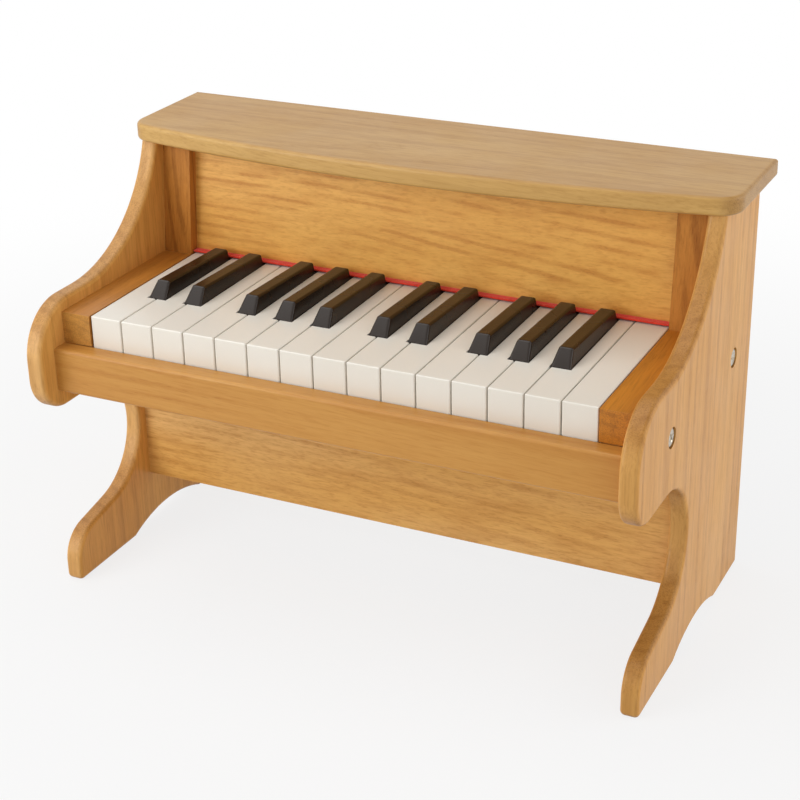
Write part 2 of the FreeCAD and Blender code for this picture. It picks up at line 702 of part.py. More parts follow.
def pivot_comb():
    """Base with a tooth between each two tails; the teeth guide the keys and carry the pivot rod."""
    sides = ("-(block_inner) + felt_side_gap", "block_inner - felt_side_gap")
    front = "pivot_y - comb_front"
    body = slab("pivot_comb", *sides, front, "tail_end", "bed_top", "comb_top")
    first_tooth = f"{tail_centre(-0.5)} - comb_tooth / 2"
    tooth_sketch = new_sketch(body, "tooth_profile", SIDE, first_tooth)
    corners = [
        ("pivot_y - comb_ear_radius", "comb_top"),
        ("pivot_y + comb_ear_radius", "comb_top"),
        ("pivot_y + comb_ear_radius", "pivot_z"),
        ("pivot_y", "pivot_z + comb_ear_radius"),
        ("pivot_y - comb_ear_radius", "pivot_z"),
    ]
    outline(tooth_sketch, corners, {2: ("comb_ear_radius", FULL), 3: ("comb_ear_radius", FULL)})
    circle_at(tooth_sketch, ("pivot_y", "pivot_z"), "rod_hole")
    tooth = pad(body, "tooth", tooth_sketch, "comb_tooth")
    repeat(body, "teeth", tooth, "tail_pitch", SEMITONES + 1)


def return_spring():
    """Spring-steel comb: a fixed strip with one finger under each lever."""
    sides = ("-(block_inner) + felt_side_gap", "block_inner - felt_side_gap")
    strip_top = "bed_top + spring_thick"
    body = slab("return_spring", *sides, "spring_front", "spring_back", "bed_top", strip_top)
    first_finger = f"{tail_centre(0)} - spring_width / 2"
    finger_sketch = new_sketch(body, "finger_profile", SIDE, first_finger)
    tip_z = "lever_bottom - spring_gap"
    corners = [
        ("spring_tip", f"{tip_z} - spring_thick"),
        ("spring_front", "bed_top"),
        ("spring_front + spring_strip / 2", "bed_top"),
        ("spring_front + spring_strip / 2", strip_top),
        ("spring_front", strip_top),
        ("spring_tip", tip_z),
    ]
    outline(finger_sketch, corners)
    finger = pad(body, "finger", finger_sketch, "spring_width")
    repeat(body, "fingers", finger, "tail_pitch", SEMITONES)


def tone_block():
    """Heavy bar under the lid, bored for a row of tone rods."""
    first = f"{tail_centre(0)} - tone_block_end"
    last = f"{tail_centre(SEMITONES - 1)} + tone_block_end"
    back = "tone_front + tone_block_depth"
    body = slab("tone_block", first, last, "tone_front", back, "tone_bottom", "panel_height")
    drill(body, "screw_holes", FLOOR, "tone_bottom", tone_screw_spots(), "screw_hole", "tone_block_height", 1)
    spot = [(tail_centre(0), "tone_rod_y")]
    hole_size = "tone_rod_diameter + 2 * rod_clearance"
    hole = drill(body, "rod_hole", FLOOR, "tone_bottom", spot, hole_size, "tone_rod_seat", 1)
    repeat(body, "rod_holes", hole, "tail_pitch", SEMITONES)


def tone_rods():
    """Row of tone rods: the free length falls by half over two octaves, because pitch goes with 1 / length²."""
    rods = []
    for semitone in range(SEMITONES):
        free_length = f"tone_rod_longest * 2 ^ (-{semitone} / {2 * OCTAVE})"
        name = f"tone_rod_{semitone + 1:02d}"
        low_end = f"tone_bottom - {free_length}"
        length = f"tone_rod_seat + {free_length}"
        spot = (tail_centre(semitone), "tone_rod_y", low_end)
        rods.append(rod(name, "tone_rod_diameter", length, *spot, (0, 0, 1)))
    group("tone_rods", rods)


def pivot_rod():
    """Steel rod through all the keys and comb teeth."""
    half = "(block_inner + rod_seat)"
    keep(rod("key_pivot_rod", "rod_diameter", f"2 * {half}", f"-{half}", "pivot_y", "pivot_z", (1, 0, 0)),
         "key_pivot_rod")


def fasteners():
    """Case bolts with their barrel nuts, and the wood screws of back panel, lid and tone block."""
    bolt = ("bolt_diameter", "bolt_length", "bolt_head_diameter", "bolt_head_thick")
    bolts = []
    nuts = []
    for side in (1, -1):
        for number, (y, z) in enumerate(bolt_spots(), start=1):
            name = f"{'right' if side > 0 else 'left'}_{number}"
            seat = (f"{side} * bolt_seat", y, z)
            bolts.append(headed(f"bolt_{name}", bolt, seat, (-side, 0, 0)))
            nuts.append(barrel_nut(name, side, y))
    group("case_bolts", bolts)
    group("barrel_nuts", nuts)

    def screws(label, spots, grip, direction):
        size = ("screw_diameter", f"{grip} + screw_bite", "screw_head_diameter", "screw_head_thick")
        items = [headed(f"{label}_{i}", size, spot, direction) for i, spot in enumerate(spots, start=1)]
        group(label, items)

    back_spots = [(x, "panel_back", z) for x, z in back_screw_spots()]
    screws("back_screws", back_spots, "back_thick", (0, -1, 0))
    rail_spots = [(x, y, "rail_bottom") for x, y in lid_screw_spots()]
    screws("lid_screws", rail_spots, "rail_height", (0, 0, 1))
    tone_spots = [(x, y, "tone_bottom") for x, y in tone_screw_spots()]
    screws("tone_block_screws", tone_spots, "tone_block_height", (0, 0, 1))


def barrel_nut(name, side, y):
    """Cross dowel in the key bed, with a hole for its bolt."""
    low_end = "bed_middle - nut_length / 2"
    barrel = rod(f"nut_{name}_barrel", "nut_diameter", "nut_length", f"{side} * nut_x", y, low_end, (0, 0, 1))
    hole_size = "bolt_diameter + 2 * rod_clearance"
    start = f"{side} * nut_x - nut_diameter"
    hole = rod(f"nut_{name}_hole", hole_size, "2 * nut_diameter", start, y, "bed_middle", (1, 0, 0))
    nut = doc.addObject("Part::Cut", f"nut_{name}")
    nut.Base = barrel
    nut.Tool = hole
    return nut


def key_tail(body, semitone, origin):
    """Tail of a key: pivot hole, lever behind the fallboard, and the hammer on its stem."""
    level = f"{tail_centre(semitone)} - ({origin}) - tail_width / 2"
    sketch = new_sketch(body, "tail_profile", SIDE, level)
    corners = [
        ("lever_end - tail_overlap", "lever_bottom"),
        ("tail_end", "lever_bottom"),
        ("tail_end", "hammer_top"),
        ("hammer_face + hammer_radius", "hammer_top"),
        ("hammer_face", "strike_z"),
        ("hammer_face + hammer_radius", "strike_z - hammer_radius"),
        ("stem_front", "strike_z - hammer_radius"),
        ("stem_front", "key_top"),
        ("lever_end - tail_overlap", "key_top"),
    ]
    outline(sketch, corners, {3: ("hammer_radius", FULL), 4: ("hammer_radius", FULL)})
    circle_at(sketch, ("pivot_y", "pivot_z"), "rod_hole")
    pad(body, "tail", sketch, "tail_width")


def white_key(number, semitone):
    """White key: front lip, lever cut away beside its black neighbours, tail with hammer."""
    label = f"white_key_{number + 1:02d}"
    origin = f"({number} + 0.5) * key_pitch - keyboard_half"
    body = new_body(label, origin)
    half = "(key_pitch - key_gap) / 2"
    room = "(sharp_width / 2 + sharp_gap)"
    notch = "sharp_front - sharp_front_gap"
    right = half
    if is_sharp(semitone + 1):
        right = f"min({half}; {tail_centre(semitone + 1)} - {room} - ({origin}))"
    left = f"-{half}"
    if is_sharp(semitone - 1):
        left = f"max(-{half}; {tail_centre(semitone - 1)} + {room} - ({origin}))"
    head = new_sketch(body, "head_plan", FLOOR, "lever_bottom")
    outline(head, rectangle(f"-{half}", half, "key_front", notch))
    pad(body, "head", head, "lever_thick")
    waist = new_sketch(body, "waist_plan", FLOOR, "lever_bottom")
    outline(waist, rectangle(left, right, "key_front + apron_thick", "lever_end"))
    pad(body, "waist", waist, "lever_thick")
    lip_plan = new_sketch(body, "lip_plan", FLOOR, "lever_bottom")
    outline(lip_plan, rectangle(f"-{half}", half, "key_front", "key_front + apron_thick"))
    pad(body, "lip", lip_plan, "lever_bottom - apron_bottom", back=True)
    key_tail(body, semitone, origin)
    front = value("key_front")
    top = value("key_top")
    head_half = value(half)
    notch_y = value(notch)

    def on_the_head(edge):
        box = edge.BoundBox
        on_a_side = lies_at(edge, 0, head_half) or lies_at(edge, 0, -head_half)
        upright = on_a_side and lies_at(edge, 1, front)
        along_the_top = on_a_side and lies_at(edge, 2, top) and box.YMin < notch_y
        across_the_top = lies_at(edge, 1, front) and lies_at(edge, 2, top)
        return upright or along_the_top or across_the_top

    round_edges(body, "rounds", "key_round", on_the_head)


def black_key(number, semitone):
    """Black key: lever with a tapered cap, tail with hammer."""
    label = f"black_key_{number + 1:02d}"
    origin = tail_centre(semitone)
    body = new_body(label, origin)
    plan = new_sketch(body, "plan", FLOOR, "lever_bottom")
    half = "sharp_width / 2"
    outline(plan, rectangle(f"-{half}", half, "sharp_front", "lever_end"))
    pad(body, "lever", plan, "lever_thick")
    foot = new_sketch(body, "cap_foot", FLOOR, "key_top")
    outline(foot, rectangle(f"-{half}", half, "sharp_front", "cap_end"))
    crown = new_sketch(body, "cap_crown", FLOOR, "key_top + sharp_height")
    crown_half = "sharp_top_width / 2"
    outline(crown, rectangle(f"-{crown_half}", crown_half, "sharp_front + sharp_rake", "cap_end"))
    cap = body.newObject("PartDesign::AdditiveLoft", f"{body.Name}_cap")
    cap.Profile = foot
    cap.Sections = [crown]
    cap.Ruled = True
    body.Tip = cap
    key_tail(body, semitone, origin)
    crown_level = value("key_top + sharp_height")
    foot_level = value("key_top")

    def on_the_cap(edge):
        box = edge.BoundBox
        return abs(box.ZMax - crown_level) < 1e-3 and box.ZMin > foot_level - 1e-3

    round_edges(body, "rounds", "sharp_round", on_the_cap)


def keys():
    """All the keys from left to right."""
    whites = 0
    blacks = 0
    for semitone in range(SEMITONES):
        if is_sharp(semitone):
            black_key(blacks, semitone)
            blacks += 1
        else:
            white_key(whites, semitone)
            whites += 1


def case():
    """Boards of the case."""
    inside = ("-(inside_half)", "inside_half")
    side_panel("left_side_panel", -1)
    side_panel("right_side_panel", 1)
    lid()
    fallboard()
    for label, side in (("left", -1), ("right", 1)):
        key_block(f"{label}_key_block", side)
        corner_batten(f"{label}_corner_batten", side)
    key_slip()
    key_bed()
    board("kick_panel", *inside, "kick_front", "kick_front + kick_thick", "kick_bottom", "bed_bottom")
    back_panel()
    top_rail()


def check():
    """Stops if an object failed, a cut removed nothing, or a piece is empty or broken."""
    for item in doc.Objects:
        if {"Invalid", "Error"} & set(item.State):
            raise RuntimeError(f"{item.Name} failed: {item.State}")
        if item.TypeId == "PartDesign::Pocket":
            if item.Shape.Volume >= item.BaseFeature.Shape.Volume - 1e-6:
                raise RuntimeError(f"{item.Name} cuts nothing")
    for item in pieces:
        if item.Shape.isNull() or not item.Shape.isValid() or not item.Shape.Solids:
            raise RuntimeError(f"{item.Label} has no valid solid")


def export():
    """Writes one file for each piece."""
    os.makedirs("parts", exist_ok=True)
    for item in pieces:
        item.Shape.exportStep(f"parts/{item.Label}.step")


fill_sheet()
case()
felts()
pivot_comb()
return_spring()
pivot_rod()
tone_block()
tone_rods()
fasteners()
keys()
doc.recompute()
check()
export()
travel = math.degrees(math.asin(value("dip_sine")))
print(f"{len(pieces)} pieces, pivot at y {value('pivot_y'):.3f} z {value('pivot_z'):.3f}, travel {travel:.3f} degrees")
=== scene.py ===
"""Looks of a small wooden toy piano: boards, ivory and black keys, felts, bolts, studio and camera."""

import logging
import math
from dataclasses import dataclass, field
from enum import Enum

import bmesh
import bpy
from mathutils import Matrix, Vector, noise


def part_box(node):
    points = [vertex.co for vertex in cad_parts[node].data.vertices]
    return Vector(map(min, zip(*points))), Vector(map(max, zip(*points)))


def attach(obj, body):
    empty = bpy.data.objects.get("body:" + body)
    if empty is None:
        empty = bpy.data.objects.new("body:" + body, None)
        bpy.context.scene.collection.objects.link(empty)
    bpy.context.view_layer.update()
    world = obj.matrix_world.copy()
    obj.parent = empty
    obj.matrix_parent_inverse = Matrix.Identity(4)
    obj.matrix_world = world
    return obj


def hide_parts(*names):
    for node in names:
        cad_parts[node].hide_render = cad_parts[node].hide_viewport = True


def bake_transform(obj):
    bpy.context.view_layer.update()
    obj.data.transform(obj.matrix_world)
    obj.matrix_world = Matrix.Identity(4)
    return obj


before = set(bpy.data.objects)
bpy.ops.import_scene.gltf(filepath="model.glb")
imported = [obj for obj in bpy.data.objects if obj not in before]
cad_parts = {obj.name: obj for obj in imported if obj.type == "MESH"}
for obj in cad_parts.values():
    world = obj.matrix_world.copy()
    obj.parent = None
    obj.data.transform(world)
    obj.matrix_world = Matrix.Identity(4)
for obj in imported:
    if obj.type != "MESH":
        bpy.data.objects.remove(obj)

LOG = logging.getLogger("toy_piano")
CASE_BODY = "case"

Colour = tuple[float, float, float, float]
Triple = tuple[float, float, float]
Pair = tuple[float, float]


def tone(code: str) -> Colour:
    """Turns a screen colour into the linear colour that a shader takes.

    Args:
        code: six hexadecimal digits, such as "C38C43".

    Returns:
        Red, green, blue and alpha.
    """
    parts = [int(code[i:i + 2], 16) / 255 for i in (0, 2, 4)]
    linear = [p / 12.92 if p <= 0.04045 else ((p + 0.055) / 1.055) ** 2.4 for p in parts]
    return (*linear, 1.0)


class Grain(Enum):
    """Way in which the grain of a board runs, as the turn of its texture space."""

    ALONG = (0.0, 0.0, 0.0)
    UPRIGHT = (0.0, -math.pi / 2, 0.0)
    DEEP = (0.0, 0.0, math.pi / 2)

    def axis(self) -> Triple:
        """Way of the fibres in the frame."""
        axes = {Grain.ALONG: (1.0, 0.0, 0.0), Grain.UPRIGHT: (0.0, 0.0, 1.0), Grain.DEEP: (0.0, 1.0, 0.0)}
        return axes[self]


class Effect(Enum):
    """Shader node groups that several materials share."""

    PLANK = "plank_grain"
    SAWN = "sawn_edges"
    LACQUER = "lacquer_skin"
    # Edge wear mask that also paints a highlight along edges.
    WEAR = "edge_wear"
    NAP = "felt_nap"
    DRAWN = "drawn_metal"


@dataclass
class Tree:
    """Places and joins the nodes of one shader tree."""

    tree: bpy.types.NodeTree

    def feed(self, socket: bpy.types.NodeSocket, value: object) -> None:
        """Joins a socket to another one, or sets its value.

        Args:
            socket: the input socket.
            value: an output socket or a plain value.
        """
        if isinstance(value, bpy.types.NodeSocket):
            self.tree.links.new(value, socket)
        else:
            socket.default_value = value

    def add(self, kind: str, values: dict[str, object] | None = None, **settings: object) -> bpy.types.Node:
        """Adds a node.

        Args:
            kind: Blender's name of the node type.
            values: input name to value or to the socket that feeds it.
            settings: properties of the node.

        Returns:
            The new node.
        """
        node = self.tree.nodes.new(kind)
        for name, setting in settings.items():
            setattr(node, name, setting)
        for name, value in (values or {}).items():
            self.feed(node.inputs[name], value)
        return node

    def math(self, operation: str, first: object, second: object) -> bpy.types.NodeSocket:
        """Does a sum on two values.

        Args:
            operation: Blender's name of the sum.
            first: first value or socket.
            second: second value or socket.

        Returns:
            The socket of the result.
        """
        node = self.add("ShaderNodeMath", operation=operation)
        self.feed(node.inputs[0], first)
        self.feed(node.inputs[1], second)
        return node.outputs[0]

    def mix(self, share: object, first: object, second: object, blend: str = "MIX") -> bpy.types.NodeSocket:
        """Colour between two colours.

        Args:
            share: how much of the second colour.
            first: colour at share 0.
            second: colour at share 1.
            blend: Blender's name of the blend.

        Returns:
            The socket of the mixed colour.
        """
        node = self.add("ShaderNodeMix", data_type="RGBA", blend_type=blend)
        for index, value in ((0, share), (6, first), (7, second)):
            self.feed(node.inputs[index], value)
        return node.outputs[2]

    def span(self, value: object, source: Pair, target: tuple[object, object]) -> bpy.types.NodeSocket:
        """Value carried from one span to another, with soft ends.

        Args:
            value: the value to carry.
            source: low and high end that it comes from.
            target: low and high end that it goes to.

        Returns:
            The socket of the result.
        """
        values = {"Value": value, "From Min": source[0], "From Max": source[1],
                  "To Min": target[0], "To Max": target[1]}
        node = self.add("ShaderNodeMapRange", values, interpolation_type="SMOOTHSTEP")
        return node.outputs["Result"]

    def vector(self, operation: str, *values: object, output: str = "Vector") -> bpy.types.NodeSocket:
        """Does a sum on vectors.

        Args:
            operation: Blender's name of the sum.
            values: vectors or sockets, in order.
            output: which result.

        Returns:
            The socket of the result.
        """
        node = self.add("ShaderNodeVectorMath", operation=operation)
        for socket, value in zip(node.inputs, values):
            self.feed(socket, value)
        return node.outputs[output]

    def noise(self, vector: bpy.types.NodeSocket, scale: float | Triple, detail: float = 2.0,
              rough: float = 0.5, output: str = "Fac") -> bpy.types.NodeSocket:
        """Cloudy noise.

        Args:
            vector: the texture space.
            scale: clouds per metre, one value or one along each axis.
            detail: how many finer layers.
            rough: how strong they are.
            output: which result.

        Returns:
            The socket of the result.
        """
        if isinstance(scale, tuple):
            vector, scale = self.vector("MULTIPLY", vector, scale), 1.0
        values = {"Vector": vector, "Scale": scale, "Detail": detail, "Roughness": rough}
        return self.add("ShaderNodeTexNoise", values).outputs[output]


class EffectShelf:
    """Builds each shared node group once and places it in materials."""

    KINDS = {"vector": "NodeSocketVector", "colour": "NodeSocketColor", "value": "NodeSocketFloat"}
    DRIFT_SCALE = (4.0, 17.0, 17.0)
    DRIFT_REACH = (0.0, 0.012, 0.012)
    PATCH_SCALE = (3.0, 85.0, 85.0)
    FIBRE_SCALE = (14.0, 620.0, 620.0)
    STREAK_SCALE = (5.0, 170.0, 170.0)
    FLECK_SCALE = (60.0, 800.0, 800.0)
    DASH_SCALE = (120.0, 1900.0, 1900.0)
    BROAD_SCALE = (3.0, 15.0, 15.0)
    PORE_TINT = (0.74, 0.66, 0.55, 1.0)
    OPEN_PORE = (0.12, 0.045, 0.012, 1.0)
    DRAWN_SCALE = (60.0, 2400.0, 2400.0)

    def __init__(self) -> None:
        """Starts with no group made."""
        self.made: dict[Effect, bpy.types.NodeTree] = {}

    def place(self, tree: Tree, effect: Effect, values: dict[str, object]) -> bpy.types.Node:
        """Puts a group in a material.

        Args:
            tree: the material's tree.
            effect: which group.
            values: its inputs by name.

        Returns:
            The group node.
        """
        if effect not in self.made:
            builders = {Effect.PLANK: self.plank, Effect.SAWN: self.sawn, Effect.LACQUER: self.lacquer,
                        Effect.WEAR: self.wear, Effect.NAP: self.nap, Effect.DRAWN: self.drawn}
            self.made[effect] = builders[effect]()
        return tree.add("ShaderNodeGroup", values, node_tree=self.made[effect])

    def start(self, effect: Effect, takes: dict[str, str], gives: dict[str, str]) -> tuple[Tree, dict, dict]:
        """Makes an empty group with its sockets.

        Args:
            effect: which group.
            takes: input name to kind.
            gives: output name to kind.

        Returns:
            The tree, its input sockets by name and its output sockets by name.
        """
        group = bpy.data.node_groups.new(effect.value, "ShaderNodeTree")
        for name, kind in takes.items():
            group.interface.new_socket(name, in_out="INPUT", socket_type=self.KINDS[kind])
        for name, kind in gives.items():
            group.interface.new_socket(name, in_out="OUTPUT", socket_type=self.KINDS[kind])
        tree = Tree(group)
        entry = tree.add("NodeGroupInput")
        leave = tree.add("NodeGroupOutput")
        return tree, {n: entry.outputs[n] for n in takes}, {n: leave.inputs[n] for n in gives}

    def plank(self) -> bpy.types.NodeTree:
        """Oak figure: growth rings round a pith, fibres, pores and a broad drift of tone.

        Returns:
            The group's tree.
        """
        takes = {"Vector": "vector", "Light": "colour", "Mid": "colour", "Dark": "colour",
                 "Ring Scale": "value", "Figure": "value", "Pores": "value"}
        gives = {"Color": "colour", "Height": "value", "Dullness": "value"}
        tree, given, out = self.start(Effect.PLANK, takes, gives)
        vector = given["Vector"]
        drift = tree.noise(vector, self.DRIFT_SCALE, output="Color")
        sway = tree.vector("SUBTRACT", drift, (0.5, 0.5, 0.5))
        bent = tree.vector("MULTIPLY_ADD", sway, self.DRIFT_REACH, vector)
        rings = tree.add("ShaderNodeTexWave", {"Vector": bent, "Scale": given["Ring Scale"],
                                               "Distortion": 0.5, "Detail": 2.0, "Detail Scale": 0.5},
                         wave_type="RINGS", rings_direction="X", wave_profile="SIN")
        patchy = tree.noise(vector, self.PATCH_SCALE, 3.0)
        early_wood = tree.math("MULTIPLY", tree.span(rings.outputs["Fac"], (0.50, 1.0), (0.0, 1.0)),
                               tree.span(patchy, (0.40, 0.62), (0.05, 1.0)))
        fibre = tree.noise(vector, self.FIBRE_SCALE, 3.0, 0.65)
        streak = tree.noise(vector, self.STREAK_SCALE, 3.0)
        fleck = tree.noise(vector, self.FLECK_SCALE)
        dash = tree.noise(vector, self.DASH_SCALE, 1.0)
        pore = tree.span(dash, (0.52, 0.70), (0.0, 1.0))
        pore = tree.math("MULTIPLY", pore, tree.math("ADD", early_wood, 0.35))
        pore = tree.math("MULTIPLY", pore, given["Pores"])
        broad = tree.noise(vector, self.BROAD_SCALE)
        colour = tree.mix(tree.span(broad, (0.30, 0.70), (0.0, 1.0)), given["Mid"], given["Light"])
        colour = tree.mix(tree.math("MULTIPLY", early_wood, given["Figure"]), colour, given["Dark"])
        marks = ((streak, (0.42, 0.72), 0.30), (fibre, (0.40, 0.70), 0.24), (fleck, (0.50, 0.70), 0.34))
        for mark, source, most in marks:
            colour = tree.mix(tree.span(mark, source, (0.0, most)), colour, given["Dark"])
        deep = tree.mix(1.0, given["Dark"], self.PORE_TINT, "MULTIPLY")
        colour = tree.mix(tree.math("MULTIPLY", pore, 0.40), colour, deep)
        height = tree.math("SUBTRACT", tree.math("MULTIPLY", fibre, 0.35), tree.math("MULTIPLY", pore, 0.8))
        tree.feed(out["Color"], colour)
        tree.feed(out["Height"], height)
        tree.feed(out["Dullness"], tree.math("ADD", pore, tree.math("MULTIPLY", fibre, 0.5)))
        return tree.tree

    def sawn(self) -> bpy.types.NodeTree:
        """Tone of sawn edges: a tint off the face of the board, which is painted light and shade, a tint
        across the fibres, deeper for end grain and lighter as painted light on the left key block, and
        pores.

        Returns:
            The group's tree.
        """
        takes = {"Vector": "vector", "Normal": "vector", "Face": "vector", "Fibres": "vector",
                 "Color": "colour", "Edge Tint": "colour", "End Grain And Light Tint": "colour"}
        tree, given, out = self.start(Effect.SAWN, takes, {"Color": "colour"})
        shares = []
        spans = (("Face", (0.45, 0.90), (1.0, 0.0)), ("Fibres", (0.20, 0.85), (0.0, 1.0)))
        for axis, source, target in spans:
            facing = tree.vector("DOT_PRODUCT", given["Normal"], given[axis], output="Value")
            shares.append(tree.span(tree.math("ABSOLUTE", facing, 0.0), source, target))
        # The tint off the face is painted light and shade on the edges.
        tinted = tree.mix(1.0, given["Color"], given["Edge Tint"], "MULTIPLY")
        edge = tree.mix(shares[0], given["Color"], tinted)
        speckle = tree.noise(given["Vector"], 1500.0)
        # End grain tint: deeper for real end grain, and on the left key block a painted light on its front.
        cut = tree.mix(1.0, edge, given["End Grain And Light Tint"], "MULTIPLY")
        open_pores = tree.mix(tree.span(speckle, (0.48, 0.66), (0.0, 0.35)), cut, self.OPEN_PORE)
        tree.feed(out["Color"], tree.mix(shares[1], edge, open_pores))
        return tree.tree

    def lacquer(self) -> bpy.types.NodeTree:
        """Skin of a lacquered or moulded surface: cloudy gloss and a slight orange peel.

        Returns:
            The group's tree.
        """
        takes = {"Vector": "vector", "Smooth": "value", "Rubbed": "value"}
        tree, given, out = self.start(Effect.LACQUER, takes, {"Roughness": "value", "Height": "value"})
        cloud = tree.noise(given["Vector"], 24.0)
        tree.feed(out["Roughness"], tree.span(cloud, (0.30, 0.72), (given["Smooth"], given["Rubbed"])))
        tree.feed(out["Height"], tree.noise(given["Vector"], 130.0, 1.0))
        return tree.tree

    def wear(self) -> bpy.types.NodeTree:
        """Mask of edges that hands have rubbed and that take a painted highlight, broken up by noise.

        Returns:
            The group's tree.
        """
        takes = {"Vector": "vector", "Radius": "value"}
        tree, given, out = self.start(Effect.WEAR, takes, {"Mask": "value"})
        soft = tree.add("ShaderNodeBevel", {"Radius": given["Radius"]}, samples=4)
        here = tree.add("ShaderNodeNewGeometry")
        alike = tree.vector("DOT_PRODUCT", soft.outputs["Normal"], here.outputs["Normal"], output="Value")
        edge = tree.span(alike, (0.80, 0.995), (1.0, 0.0))
        patches = tree.noise(given["Vector"], 160.0, 3.0)
        tree.feed(out["Mask"], tree.math("MULTIPLY", edge, tree.span(patches, (0.35, 0.6), (0.25, 1.0))))
        return tree.tree

    def nap(self) -> bpy.types.NodeTree:
        """Pressed wool: tangled fibres and a mottled tone.

        Returns:
            The group's tree.
        """
        takes = {"Vector": "vector", "Deep": "colour", "Raised": "colour"}
        tree, given, out = self.start(Effect.NAP, takes, {"Color": "colour", "Height": "value"})
        tangle = tree.noise(given["Vector"], 2600.0, 4.0, 0.7)
        mottle = tree.noise(given["Vector"], 240.0)
        share = tree.math("MULTIPLY", tree.span(tangle, (0.3, 0.7), (0.0, 1.0)),
                          tree.span(mottle, (0.3, 0.7), (0.5, 1.0)))
        tree.feed(out["Color"], tree.mix(share, given["Deep"], given["Raised"]))
        tree.feed(out["Height"], tangle)
        return tree.tree

    def drawn(self) -> bpy.types.NodeTree:
        """Plated or drawn metal: fine lines along one way and dull spots.

        Returns:
            The group's tree.
        """
        takes = {"Vector": "vector", "Bright": "colour", "Dull": "colour",
                 "Smooth": "value", "Rough": "value"}
        gives = {"Color": "colour", "Roughness": "value", "Height": "value"}
        tree, given, out = self.start(Effect.DRAWN, takes, gives)
        line = tree.noise(given["Vector"], self.DRAWN_SCALE)
        spot = tree.noise(given["Vector"], 420.0, 3.0, 0.6)
        spots = tree.span(spot, (0.48, 0.68), (0.0, 1.0))
        tree.feed(out["Color"], tree.mix(spots, given["Bright"], given["Dull"]))
        blend = tree.math("ADD", tree.math("MULTIPLY", line, 0.5), tree.math("MULTIPLY", spots, 0.5))
        tree.feed(out["Roughness"], tree.span(blend, (0.1, 0.8), (given["Smooth"], given["Rough"])))
        tree.feed(out["Height"], line)
        return tree.tree


def empty_tree(owner: bpy.types.Material | bpy.types.World) -> Tree:
    """Clears the shader tree of a material or a world.

    Args:
        owner: what has the tree.

    Returns:
        The empty tree.
    """
    owner.use_nodes = True
    owner.node_tree.nodes.clear()
    return Tree(owner.node_tree)


def stand(name: str, data: bpy.types.ID) -> bpy.types.Object:
    """Puts a mesh, lamp or camera in the scene.

    Args:
        name: name of the object.
        data: what it shows.

    Returns:
        The new object.
    """
    item = bpy.data.objects.new(name, data)
    bpy.context.scene.collection.objects.link(item)
    return item


@dataclass(frozen=True)
class Finish:
    """What every finish has: a name, and a material with a Principled shader in object space."""

    name: str

    def begin(self) -> tuple[bpy.types.Material, Tree, bpy.types.Node, bpy.types.NodeSocket]:
        """Starts a material.

        Returns:
            The material, its tree, its Principled node and the object coordinates.
        """
        material = bpy.data.materials.new(self.name)
        tree = empty_tree(material)
        shader = tree.add("ShaderNodeBsdfPrincipled")
        tree.add("ShaderNodeOutputMaterial", {"Surface": shader.outputs["BSDF"]})
        return material, tree, shader, tree.add("ShaderNodeTexCoord").outputs["Object"]

    def relief(self, tree: Tree, shader: bpy.types.Node, height: object, depth: float) -> None:
        """Raises the surface by a height map.

        Args:
            tree: the material's tree.
            shader: its Principled node.
            height: socket of the height.
            depth: metres that a height of 1 stands for.
        """
        bump = tree.add("ShaderNodeBump", {"Height": height, "Distance": depth, "Strength": 1.0})
        tree.feed(shader.inputs["Normal"], bump.outputs["Normal"])

    def material(self, shelf: EffectShelf) -> bpy.types.Material:
        """Makes the material; each kind of finish has its own."""
        raise NotImplementedError(self.name)


@dataclass(frozen=True)
class Tones:
    """Light, middle and dark tone of a board."""

    light: str
    mid: str
    dark: str = "B0722A"


